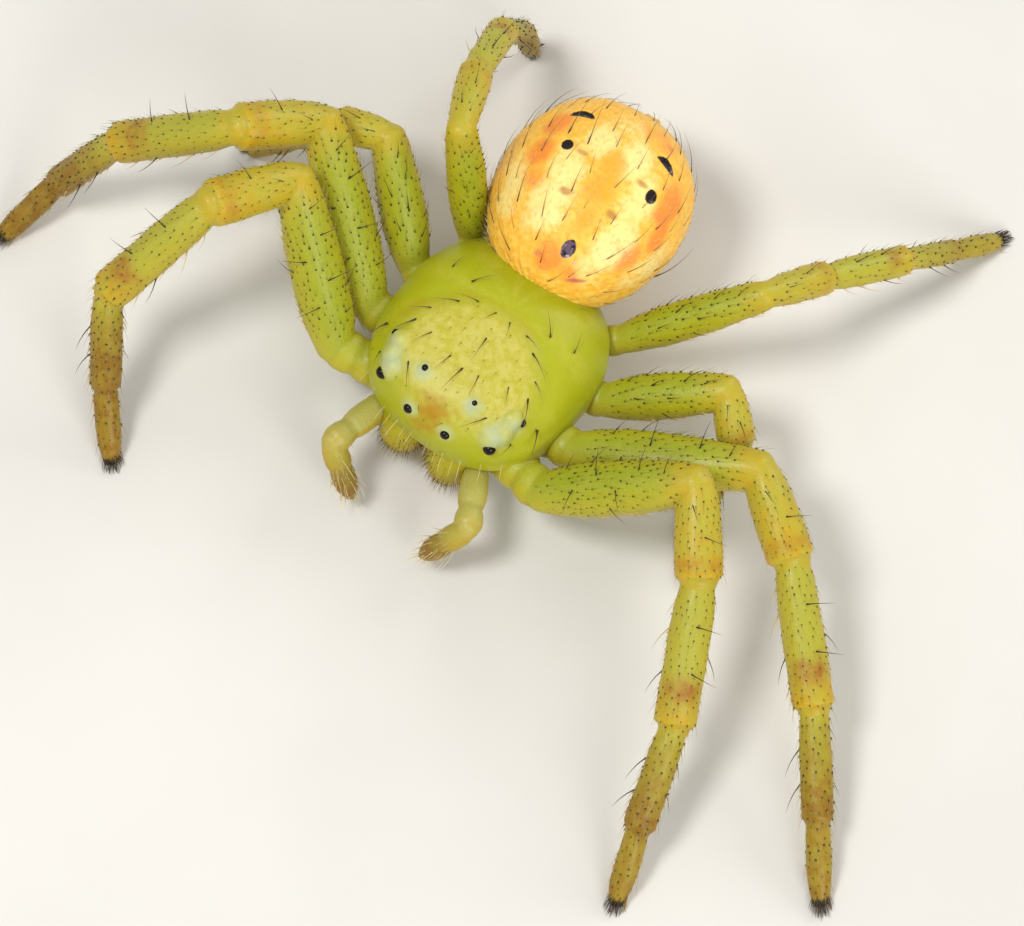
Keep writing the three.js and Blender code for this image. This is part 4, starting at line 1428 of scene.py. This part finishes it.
    def _outward(self, x: float, y: float) -> np.ndarray:
        """The direction straight out of the dome above a place."""
        step = 0.02
        across = self.shape.surface(x + step, y) - self.shape.surface(x - step, y)
        along = self.shape.surface(x, y + step) - self.shape.surface(x, y - step)
        return unit(np.cross(across, along))

    def lens(self, eye: Eye, side: Side) -> bpy.types.Object:
        """One polished lens."""
        looks = unit(side.of(eye.looks))
        shell = ball_shell(side.of(eye.at), (eye.lens, eye.lens, eye.lens * 0.98), looks)
        return mesh_object(f"lens_{eye.name}_{side.word}", shell)

    def build(self, trees: SetaTrees, finishes: Finishes) -> None:
        """Builds and dresses the carapace."""
        skin = self.skin(finishes)
        down = self.down.grow(trees, "carapace_down", skin, finishes.fine_seta, self.unwrap, SEED)
        bristles = self.bristle.grow(trees, "carapace_bristles", self._bristle_roots(), finishes.brown_seta,
                                     self.unwrap, SEED, placed=True)
        fringe = self.fringe.grow(trees, "carapace_fringe", self._fringe_roots(), finishes.pale_seta,
                                  self.unwrap, SEED, placed=True)
        settle(skin, ["carapace"])
        for made in (down, bristles, fringe):
            settle(made)
        for side in Side:
            for eye in EYES:
                made = self.lens(eye, side)
                made.data.materials.append(finishes.lens)
                settle(made, [f"eye_{eye.name}_{side.word}"])


# The abdomen


@dataclass(frozen=True)
class Mark:
    """One mark of the abdomen: degrees from its front and from its midline, half sizes, strength.

    It may be turned on the skin by some degrees, and bent into a crescent.
    """

    arc: float
    turn: float
    along: float
    across: float
    strength: float = 1.0
    tilt: float = 0.0
    bend: float = 0.0


class Abdomen:
    """The globe of the abdomen, its pattern, its long bristles and the spinnerets."""

    CENTRE = (-0.12, 2.27, 1.81)
    HALF_WIDTH = 1.27
    HALF_LENGTH = 1.4
    HALF_HEIGHT = 1.05
    YAW = 5.5
    FRONT_POWER = 0.78
    BACK_POWER = 0.92
    BACK_SWELL = 0.04
    LOWER_SHARE = 0.92
    STEPS = 170
    SIDES = 240
    PIT_DEPTH = 0.03
    FOLDS = 22
    ROW_ARCS = (14, 26, 40, 56, 72, 88, 104, 120, 136, 152)
    ROW_GAP = 0.38
    bristle = Seta(
        thickness=0.0095, bend=0.3, lean=72, spread=0.08, shortest=0.6, socket=0.8, steps=10, sides=5
    )
    down = Seta(thickness=0.035, bend=0.3, lean=42, spread=0.3, shortest=0.4, socket=0.3, spacing=0.075)

    SPOTS = (Mark(45, 0, 0.135, 0.09), Mark(97, 30, 0.1, 0.085), Mark(97, -30, 0.085, 0.08),
             Mark(121, 34, 0.065, 0.17, tilt=18, bend=-1.5), Mark(121, -34, 0.065, 0.17, tilt=-18, bend=-1.5))
    PATTERN = {
        "cream": (Mark(64, 26, 0.5, 0.28), Mark(64, -27, 0.5, 0.28), Mark(90, 24, 0.42, 0.24),
                  Mark(86, -24, 0.4, 0.26), Mark(108, 12, 0.34, 0.24), Mark(108, -12, 0.34, 0.24),
                  Mark(70, 62, 0.5, 0.2, 0.75), Mark(66, -60, 0.5, 0.24, 0.8), Mark(44, 24, 0.3, 0.2, 0.7),
                  Mark(128, 0, 0.2, 0.3, 0.6)),
        "band": (Mark(98, 0, 0.24, 0.2), Mark(84, 0, 0.32, 0.2, 0.9), Mark(66, 0, 0.3, 0.12, 0.8)),
        "red": (Mark(108, -45, 0.26, 0.2), Mark(88, -45, 0.26, 0.2), Mark(74, -42, 0.18, 0.2, 0.6),
                Mark(102, 46, 0.36, 0.22), Mark(84, 50, 0.28, 0.16), Mark(64, 42, 0.3, 0.12, 0.8),
                Mark(34, -12, 0.26, 0.24, 0.9), Mark(30, 16, 0.16, 0.24, 0.7), Mark(134, 24, 0.2, 0.3, 0.6)),
        "plum": (Mark(31, 25, 0.035, 0.17, tilt=-50), Mark(32, -24, 0.06, 0.07, 0.7)),
        "smudge": (Mark(73, -19, 0.06, 0.09), Mark(75, 13, 0.06, 0.09), Mark(96, -19, 0.05, 0.12),
                   Mark(99, 21, 0.05, 0.1)),
    }

    def midline(self, arc: np.ndarray | float) -> Any:
        """The turn of the pattern's midline in degrees, which drifts a little to the left in front."""
        return 18 - 0.127 * arc

    def surface(self, arc: np.ndarray, turn: np.ndarray) -> np.ndarray:
        """Points of the egg at degrees from its front and from its ridge."""
        a, t = np.radians(arc), np.radians(turn)
        power = self.FRONT_POWER + (self.BACK_POWER - self.FRONT_POWER) * a / math.pi
        swell = np.maximum(np.sin(a), 0) ** power * (1 - self.BACK_SWELL * np.cos(a))
        along = -np.cos(a) * self.HALF_LENGTH
        x = self.HALF_WIDTH * swell * np.sin(t)
        z = self.HALF_HEIGHT * swell * np.cos(t) * np.where(np.cos(t) < 0, self.LOWER_SHARE, 1)
        yaw = math.radians(self.YAW)
        return np.stack([
            self.CENTRE[0] + x * math.cos(yaw) - along * math.sin(yaw),
            self.CENTRE[1] + along * math.cos(yaw) + x * math.sin(yaw),
            self.CENTRE[2] + z,
        ], -1)

    def locate(self, points: np.ndarray) -> tuple[np.ndarray, np.ndarray]:
        """Degrees from the front and from the ridge, for points on the abdomen."""
        yaw = math.radians(self.YAW)
        off = points - np.array(self.CENTRE)
        along = -off[:, 0] * math.sin(yaw) + off[:, 1] * math.cos(yaw)
        x = off[:, 0] * math.cos(yaw) + off[:, 1] * math.sin(yaw)
        arc = np.degrees(np.arccos(np.clip(-along / self.HALF_LENGTH, -1, 1)))
        low = np.where(off[:, 2] < 0, self.LOWER_SHARE, 1)
        return arc, np.degrees(np.arctan2(x / self.HALF_WIDTH, off[:, 2] / self.HALF_HEIGHT / low))

    def _reach(self, points: np.ndarray, mark: Mark) -> np.ndarray:
        """How far points are from a mark's middle, as a share of its half sizes."""
        turn = mark.turn + self.midline(mark.arc)
        centre = self.surface(np.array([mark.arc]), np.array([turn]))[0]
        ahead = self.surface(np.array([mark.arc + 2.0]), np.array([turn]))[0]
        beside = self.surface(np.array([mark.arc]), np.array([turn + 2.0]))[0]
        way, side = unit(ahead - centre), unit(beside - centre)
        tilt = math.radians(mark.tilt)
        way, side = math.cos(tilt) * way + math.sin(tilt) * side, math.cos(tilt) * side - math.sin(tilt) * way
        off = points - centre
        across, depth = off @ side, off @ np.cross(way, side)
        along = off @ way - mark.bend * across**2
        return np.sqrt((along / mark.along) ** 2 + (across / mark.across) ** 2 + (depth / 0.4) ** 2)

    def skin(self, finishes: Finishes) -> bpy.types.Object:
        """The globe of the abdomen with its pits and folds."""
        arc = np.linspace(0, 180, self.STEPS + 1)[1:-1]
        turn = np.linspace(-180, 180, self.SIDES, endpoint=False)
        rings = self.surface(arc[:, None], turn[None, :])
        front, back = self.surface(np.array([0.0, 180.0]), np.array([0.0, 0.0]))
        shell = Shell.of_rings(rings, front, back)
        made = mesh_object("abdomen_skin", shell)
        points = points_of(made)
        spot = np.full(len(points), -1.0)
        for mark in self.SPOTS:
            spot = np.maximum(spot, (1 - self._reach(points, mark)) * min(mark.along, mark.across))
        arcs, turns = self.locate(points)
        pits = -self.PIT_DEPTH * ease(-0.02, 0.04, spot)
        waves = np.sin(np.radians(turns) * self.FOLDS + unevenness(points, 1.2))
        folds = 0.006 * waves * (1 - ease(12, 45, arcs))
        below = ease(90, 140, np.abs(turns))
        furrow = -0.05 * below * np.exp(-(((arcs - 52) / 4) ** 2))
        relief = pits + folds + furrow + 0.014 * unevenness(points, 0.7) + 0.003 * unevenness(points, 0.1)
        points = points + normals_of(made) * relief[:, None]
        set_points(made, points)
        self._tone(made, points, spot, arcs, turns)
        made.data.materials.append(finishes.abdomen)
        return made

    def _tone(
        self,
        made: bpy.types.Object,
        points: np.ndarray,
        spot: np.ndarray,
        arcs: np.ndarray,
        turns: np.ndarray,
    ) -> None:
        """Writes the pattern's shares and the lie, cover and reach of the down."""
        store(made, spot=spot, front=arcs < 70)
        for part, marks in self.PATTERN.items():
            share = np.zeros(len(points))
            for mark in marks:
                here = 1 - ease(0.35, 1.5, self._reach(points, mark))
                share = np.maximum(share, mark.strength * here)
            store(made, **{part: share})
        behind = self.surface(np.minimum(arcs + 2, 179.5), turns)
        way = unit(behind - self.surface(np.maximum(arcs - 2, 0.5), turns))
        store(made, lie=way, cover=np.where(spot > -0.02, 0.0, 1.0), reach=0.1)

    def unwrap(self, points: np.ndarray) -> np.ndarray:
        """Where points lie on the abdomen's unwrap: round it, and from front to back."""
        arc, turn = self.locate(points)
        return np.stack([0.5 + 0.48 * turn / 180, 0.02 + 0.96 * arc / 180], 1)

    def _bristle_roots(self) -> bpy.types.Object:
        """The roots of the long bristles, in rows round the abdomen that are set in staggered order."""
        rng = np.random.default_rng(SEED)
        roots = Roots()
        for row, arc in enumerate(self.ROW_ARCS):
            gap = self.ROW_GAP / (self.HALF_WIDTH * math.sin(math.radians(arc))) * 180 / math.pi
            count = int(150 / gap)
            for k in range(-count, count + 1):
                turn = (k + 0.5 * (row % 2)) * gap + self.midline(arc) + rng.uniform(-4, 4)
                here = arc + rng.uniform(-3, 3)
                at, ahead, beside = self.surface(
                    np.array([here, here + 2, here]), np.array([turn, turn, turn + 2]))
                way, side = unit(ahead - at), unit(beside - at)
                out = unit(np.cross(way, side))
                out = out if out @ (at - np.array(self.CENTRE)) > 0 else -out
                reach = rng.uniform(0.42, 0.74) * (1 if abs(turn) < 100 else 0.6)
                roots.add(at - 0.01 * out, out, unit(way + 0.15 * rng.normal() * side), reach)
        return roots.mesh("abdomen_roots")

    def spinnerets(self, finishes: Finishes) -> bpy.types.Object:
        """The spinnerets behind the abdomen: a short base with three pairs of cones."""
        yaw = math.radians(self.YAW)
        back = unit(np.array([-math.sin(yaw), math.cos(yaw), -0.35]))
        across, up = np.array([math.cos(yaw), math.sin(yaw), 0.0]), np.array([0.0, 0.0, 1.0])
        root = np.array([-0.24, 3.58, 1.32])
        end = root + 0.3 * back
        shells = [limb_shell(root, end, 0.2, ((0, 1), (0.6, 0.96), (1, 0.84)))]
        for x in (-0.075, 0.075):
            for z, size in ((-0.075, 1.0), (0.0, 0.75), (0.075, 1.0)):
                start = end + x * across + z * up - 0.05 * back
                tip = start + 0.17 * size * back
                outline = ((0, 0.9), (0.5, 0.95), (0.8, 0.8), (1, 0.6))
                shells.append(limb_shell(start, tip, 0.068, outline, 16))
        made = fused("spinneret_skin", shells, 0.016, 3)
        store_plain_tones(made, back, 0.3)
        made.data.materials.append(finishes.cone)
        return made

    def build(self, trees: SetaTrees, finishes: Finishes) -> None:
        """Builds and dresses the abdomen."""
        skin = self.skin(finishes)
        down = self.down.grow(trees, "abdomen_down", skin, finishes.pale_seta, self.unwrap, SEED)
        bristles = self.bristle.grow(trees, "abdomen_bristles", self._bristle_roots(), finishes.brown_seta,
                                     self.unwrap, SEED, placed=True)
        spin = self.spinnerets(finishes)
        settle(skin, ["abdomen"])
        settle(down)
        settle(bristles)
        settle(spin, ["spinnerets"])


# The mouthparts and the underside


class Mouthparts:
    """The chelicerae with their fangs, the palps, and the plates of the underside."""

    CHELICERA = ((0.38, -1.16, 1.12), (0.37, -1.3, 0.5), 0.35)
    JAW_OUTLINE = ((0, 0.9), (0.4, 1), (0.6, 0.99), (0.8, 0.94), (1, 0.76))
    FANG = ((0.33, -1.28, 0.34), (0.2, -1.22, 0.24), (0.07, -1.15, 0.25))
    PALP_HIP = (0.73, -1.2, 0.93)
    PALP_LENGTHS = (0.98, 0.88)
    PALP_RADII = (0.19, 0.17)
    PALP_POSES = {Side.LEFT: ((62, 10), (134, -54)), Side.RIGHT: ((80, 8), (160, -54))}
    PALP_UPPER = ((0, 0.7), (0.2, 0.92), (0.45, 1), (0.62, 0.92), (0.68, 0.8), (0.78, 0.95), (0.92, 1),
                  (1, 0.8))
    PALP_LOWER = ((0, 0.8), (0.15, 0.98), (0.38, 1.02), (0.46, 0.84), (0.56, 0.94), (0.75, 0.92), (0.92, 0.7),
                  (1, 0.45))
    fine = Seta(thickness=0.022, bend=0.3, lean=56, spread=0.2, shortest=0.5, socket=1.2, spacing=0.07)
    brush = Seta(thickness=0.018, bend=0.3, lean=46, spread=0.25, shortest=0.5, socket=0.8, spacing=0.05)
    long_pale = Seta(
        thickness=0.015, bend=0.25, lean=48, spread=0.2, shortest=0.6, socket=0.5, steps=8, sides=5
    )

    def palp_joints(self, side: Side) -> np.ndarray:
        """The hip, elbow and tip of a palp."""
        joints = [side.of(self.PALP_HIP)]
        for (bearing, rise), length in zip(self.PALP_POSES[side], self.PALP_LENGTHS):
            joints.append(joints[-1] + length * side.way(bearing, rise))
        return np.array(joints)

    def palp(self, side: Side, finishes: Finishes) -> bpy.types.Object:
        """The skin of one palp."""
        hip, elbow, tip = self.palp_joints(side)
        inner = side.of((0.42, -1.02, 0.8))
        shells = [limb_shell(inner, hip, 0.17, ((0, 0.9), (1, 0.9))),
                  limb_shell(hip, elbow, self.PALP_RADII[0], self.PALP_UPPER),
                  limb_shell(elbow, tip, self.PALP_RADII[1], self.PALP_LOWER)]
        made = fused(f"palp_{side.word}_skin", shells, 0.018, 4)
        points = points_of(made)
        lower = (points - elbow) @ unit(tip - elbow) / self.PALP_LENGTHS[1]
        upper = (points - hip) @ unit(elbow - hip) / self.PALP_LENGTHS[0]
        is_lower = lower > 0.02
        store(
            made,
            ripe=np.where(is_lower, 0.3, 0.9),
            cuff=np.where(is_lower, 0.25, 0.1 + 0.3 * ease(0.8, 1, upper)),
            # The lower segment's brown is partly its own tone and partly painted shade.
            brown=1.1 * ease(0.1, 0.8, lower),
            blush=0.25 * ease(0.5, 0.9, lower),
            tip=0.15 * ease(0.9, 1.05, lower),
            flank=normals_of(made)[:, 2] < 0.5,
            lie=np.where(is_lower[:, None], unit(tip - elbow), unit(elbow - hip)),
            cover=0.25 + 0.75 * ease(0.0, 0.6, lower),
            reach=0.12 + 0.14 * ease(0.2, 0.8, lower),
        )
        made.data.materials.append(finishes.palp)
        return made

    def palp_unwrap(self, side: Side) -> Callable[[np.ndarray], np.ndarray]:
        """The unwrap of one palp: along it, and round it."""
        hip, elbow, tip = self.palp_joints(side)

        def unwrap(points: np.ndarray) -> np.ndarray:
            """Where points of the palp lie on the map."""
            lower = (points - elbow) @ unit(tip - elbow)
            upper = (points - hip) @ unit(elbow - hip)
            is_lower = lower > 0
            outer, inner = 0.45 * lower / self.PALP_LENGTHS[1], 0.45 * upper / self.PALP_LENGTHS[0]
            along = np.where(is_lower, 0.5 + outer, inner)
            way = np.where(is_lower[:, None], unit(tip - elbow), unit(elbow - hip))
            start = np.where(is_lower[:, None], elbow, hip)
            off = points - start - ((points - start) * way).sum(1)[:, None] * way
            turn = np.arctan2(off[:, 0], off[:, 2])
            return np.stack([0.03 + 0.94 * np.clip(along, 0, 1), 0.5 + 0.48 * turn / math.pi], 1)

        return unwrap

    def jaw(self, side: Side, finishes: Finishes) -> bpy.types.Object:
        """The skin of one chelicera."""
        start, end, radius = self.CHELICERA
        made = fused(f"chelicera_{side.word}_skin", [
            limb_shell(side.of(start), side.of(end), radius, self.JAW_OUTLINE, 36)], 0.02, 4)
        points = points_of(made)
        down = 1 - ease(0.5, 1.1, points[:, 2])
        hairy = np.maximum(1 - ease(0.1, 0.45, np.abs(points[:, 0])), down)
        store(made, head=0.0, olive=0.0, streak=0.0, rim=0.0, orange=0.0, mound=-1.0)
        store(
            made,
            jaw=0.55 + 0.45 * down,
            lie=unit(np.array([0.0, -0.3, -1.0])),
            cover=ease(1.05, 1.25, -points[:, 1]) * (0.3 + 0.7 * hairy),
            reach=0.13 + 0.1 * hairy,
        )
        made.data.materials.append(finishes.shield)
        return made

    def jaw_unwrap(self, side: Side) -> Callable[[np.ndarray], np.ndarray]:
        """The unwrap of one chelicera."""
        start, end, _ = self.CHELICERA
        top, bottom = side.of(start), side.of(end)
        way = unit(bottom - top)

        def unwrap(points: np.ndarray) -> np.ndarray:
            """Where points of the chelicera lie on the map."""
            off = points - top
            along = np.clip(off @ way / np.linalg.norm(bottom - top), -0.3, 1.3)
            turn = np.arctan2(off[:, 0], -off[:, 1])
            return np.stack([0.5 + 0.48 * turn / math.pi, 0.25 + 0.4 * along], 1)

        return unwrap

    def fang(self, side: Side) -> bpy.types.Object:
        """One curved fang."""
        path = [side.of(p) for p in self.FANG]
        shells = [limb_shell(path[0], path[1], 0.05, ((0, 1), (1, 0.8)), 16),
                  limb_shell(path[1], path[2], 0.04, ((0, 1), (0.5, 0.7), (1, 0.2)), 16)]
        return fused(f"fang_{side.word}_horn", shells, 0.008, 2)

    def underside(self, finishes: Finishes) -> bpy.types.Object:
        """The sternum, labium, maxillae and the stalk of the abdomen as one skin."""
        shells = [ball_shell(np.array([0, 0.02, 0.86]), (0.86, 0.5, 0.23)),
                  ball_shell(np.array([0, 0.12, 0.84]), (0.62, 0.47, 0.24)),
                  ball_shell(np.array([0, -0.95, 0.86]), (0.2, 0.17, 0.14)),
                  limb_shell(np.array([0, 0.75, 0.93]), np.array([-0.02, 1.5, 1.05]), 0.155,
                             ((0, 0.9), (0.5, 0.75), (1, 0.9)))]
        for side in Side:
            shells.append(limb_shell(side.of((0.5, -0.98, 0.86)), side.of((0.16, -1.2, 0.8)), 0.14,
                                     ((0, 0.9), (0.5, 1), (1, 0.8))))
        made = fused("sternum_skin", shells, 0.024, 5)
        store_plain_tones(made, np.array([0.0, 1.0, 0.0]), 0.5)
        made.data.materials.append(finishes.under)
        return made

    def _pale_roots(self, side: Side) -> bpy.types.Object:
        """The long pale setae at the tip of a palp."""
        hip, elbow, tip = self.palp_joints(side)
        rng = np.random.default_rng(SEED)
        way = unit(tip - elbow)
        up, across = frame_along(way)
        roots = Roots()
        for k in range(14):
            turn = k * 2.4 + rng.uniform(-0.2, 0.2)
            share = min(0.2 + 0.06 * k, 1)
            out = math.cos(turn) * up + math.sin(turn) * across
            radius = self.PALP_RADII[1] * float(smooth_curve(self.PALP_LOWER, np.array([share]))[0])
            roots.add(elbow + share * (tip - elbow) + 0.9 * radius * out, out, way, rng.uniform(0.26, 0.42))
        return roots.mesh("palp_roots")

    def build(self, trees: SetaTrees, finishes: Finishes) -> None:
        """Builds and dresses the mouthparts and the underside."""
        for side in Side:
            palp = self.palp(side, finishes)
            unwrap = self.palp_unwrap(side)
            seed = SEED + side.value
            setae = self.fine.grow(trees, f"palp_{side.word}_setae", palp, finishes.pale_seta, unwrap, seed)
            long_setae = self.long_pale.grow(trees, f"palp_{side.word}_bristles", self._pale_roots(side),
                                             finishes.pale_seta, unwrap, seed, placed=True)
            jaw = self.jaw(side, finishes)
            brush = self.brush.grow(trees, f"chelicera_{side.word}_setae", jaw, finishes.tawny_seta,
                                    self.jaw_unwrap(side), seed)
            fang = self.fang(side)
            fang.data.materials.append(finishes.claw)
            settle(palp, [f"palp_{side.word}_femur", f"palp_{side.word}_tip"])
            settle(setae)
            settle(long_setae)
            settle(jaw, [f"chelicera_{side.word}"])
            settle(brush)
            settle(fang, [f"fang_{side.word}"])
        settle(self.underside(finishes), ["sternum", "pedicel"])


# The studio


@dataclass(frozen=True)
class Studio:
    """The pale floor, the soft lights and the camera at the photograph's viewing angle.

    The camera's place comes from the view: it looks down at an elevation from an azimuth, rolled a
    little, from a distance, and a scale in pixels per millimetre holds at the point it turns about.
    """

    azimuth: float = 25.0
    elevation: float = 68.0
    roll: float = 12.2
    distance: float = 0.12
    pivot: Point = (0.0, 0.0, 1.3)
    pivot_pixel: tuple[float, float] = (489.3, 353.2)
    pixels_per_mm: float = 78.0
    image: tuple[int, int] = (1024, 926)
    sensor: float = 36.0
    floor_half: float = 0.6

    def axes(self) -> tuple[Vector, Vector, Vector]:
        """The camera's right, up and backward directions."""
        a, e, r = (math.radians(v) for v in (self.azimuth, self.elevation, self.roll))
        back = Vector((math.cos(e) * math.sin(a), -math.cos(e) * math.cos(a), math.sin(e)))
        level = Vector((math.cos(a), math.sin(a), 0))
        upright = back.cross(level)
        return level * math.cos(r) + upright * math.sin(r), upright * math.cos(r) - level * math.sin(r), back

    def camera(self) -> None:
        """Makes the camera."""
        right, up, back = self.axes()
        data = bpy.data.cameras.new("view")
        data.sensor_width = self.sensor
        width, height = self.image
        scale = self.pixels_per_mm / METRES_PER_MM
        data.lens = self.sensor * scale * self.distance / width
        data.clip_start, data.clip_end = 0.01, 5.0
        made = linked("view", data)
        across = (width / 2 - self.pivot_pixel[0]) / scale
        down = (height / 2 - self.pivot_pixel[1]) / scale
        pivot = body_origin() + Vector(self.pivot) * METRES_PER_MM
        place = pivot + back * self.distance + right * across - up * down
        turn = Matrix((right, up, back)).transposed().to_4x4()
        made.matrix_world = Matrix.Translation(place) @ turn
        bpy.context.scene.camera = made

    def floor(self, finish: bpy.types.Material) -> None:
        """Makes the floor, which isn't part of the object."""
        h = self.floor_half
        mesh = bpy.data.meshes.new("floor")
        mesh.from_pydata([(-h, -h, 0), (h, -h, 0), (h, h, 0), (-h, h, 0)], [], [(0, 1, 2, 3)])
        made = linked("floor", mesh)
        mesh.materials.append(finish)

    def light(self, name: str, place: Point, size: float, power: float, tint: Colour) -> None:
        """Makes one soft light that faces the spider."""
        data = bpy.data.lights.new(name, "AREA")
        data.shape, data.size, data.energy, data.color = "DISK", size, power, tint
        made = linked(name, data)
        at = Vector(place)
        made.matrix_world = Matrix.Translation(at) @ at.to_track_quat("Z", "Y").to_matrix().to_4x4()

    def build(self, finishes: Finishes) -> None:
        """Sets up floor, lights, world and colour."""
        self.floor(finishes.floor)
        self.light("key", (-0.05, -0.07, 0.17), 0.05, 0.2, (1.0, 0.98, 0.95))
        self.light("fill", (0.15, -0.08, 0.11), 0.12, 0.19, (1.0, 0.99, 0.97))
        self.light("back", (0.04, 0.17, 0.12), 0.10, 0.13, (1.0, 0.97, 0.92))
        world = bpy.data.worlds.new("studio")
        world.use_nodes = True
        sky = world.node_tree.nodes["Background"]
        sky.inputs["Color"].default_value = (1.0, 0.98, 0.95, 1)
        sky.inputs["Strength"].default_value = 0.5
        scene = bpy.context.scene
        scene.world = world
        scene.view_settings.view_transform = "Standard"
        scene.view_settings.look = "None"


def main() -> None:
    """Builds the spider piece by piece, then the studio round it."""
    logging.basicConfig(level=logging.INFO, format="%(message)s")
    finishes = Finishes()
    studio = Studio()
    studio.camera()
    trees = SetaTrees()
    Carapace().build(trees, finishes)
    Abdomen().build(trees, finishes)
    Mouthparts().build(trees, finishes)
    for side in Side:
        for number in range(1, 5):
            Leg(number, side).build(trees, finishes)
    studio.build(finishes)


if __name__ == "__main__":
    main()
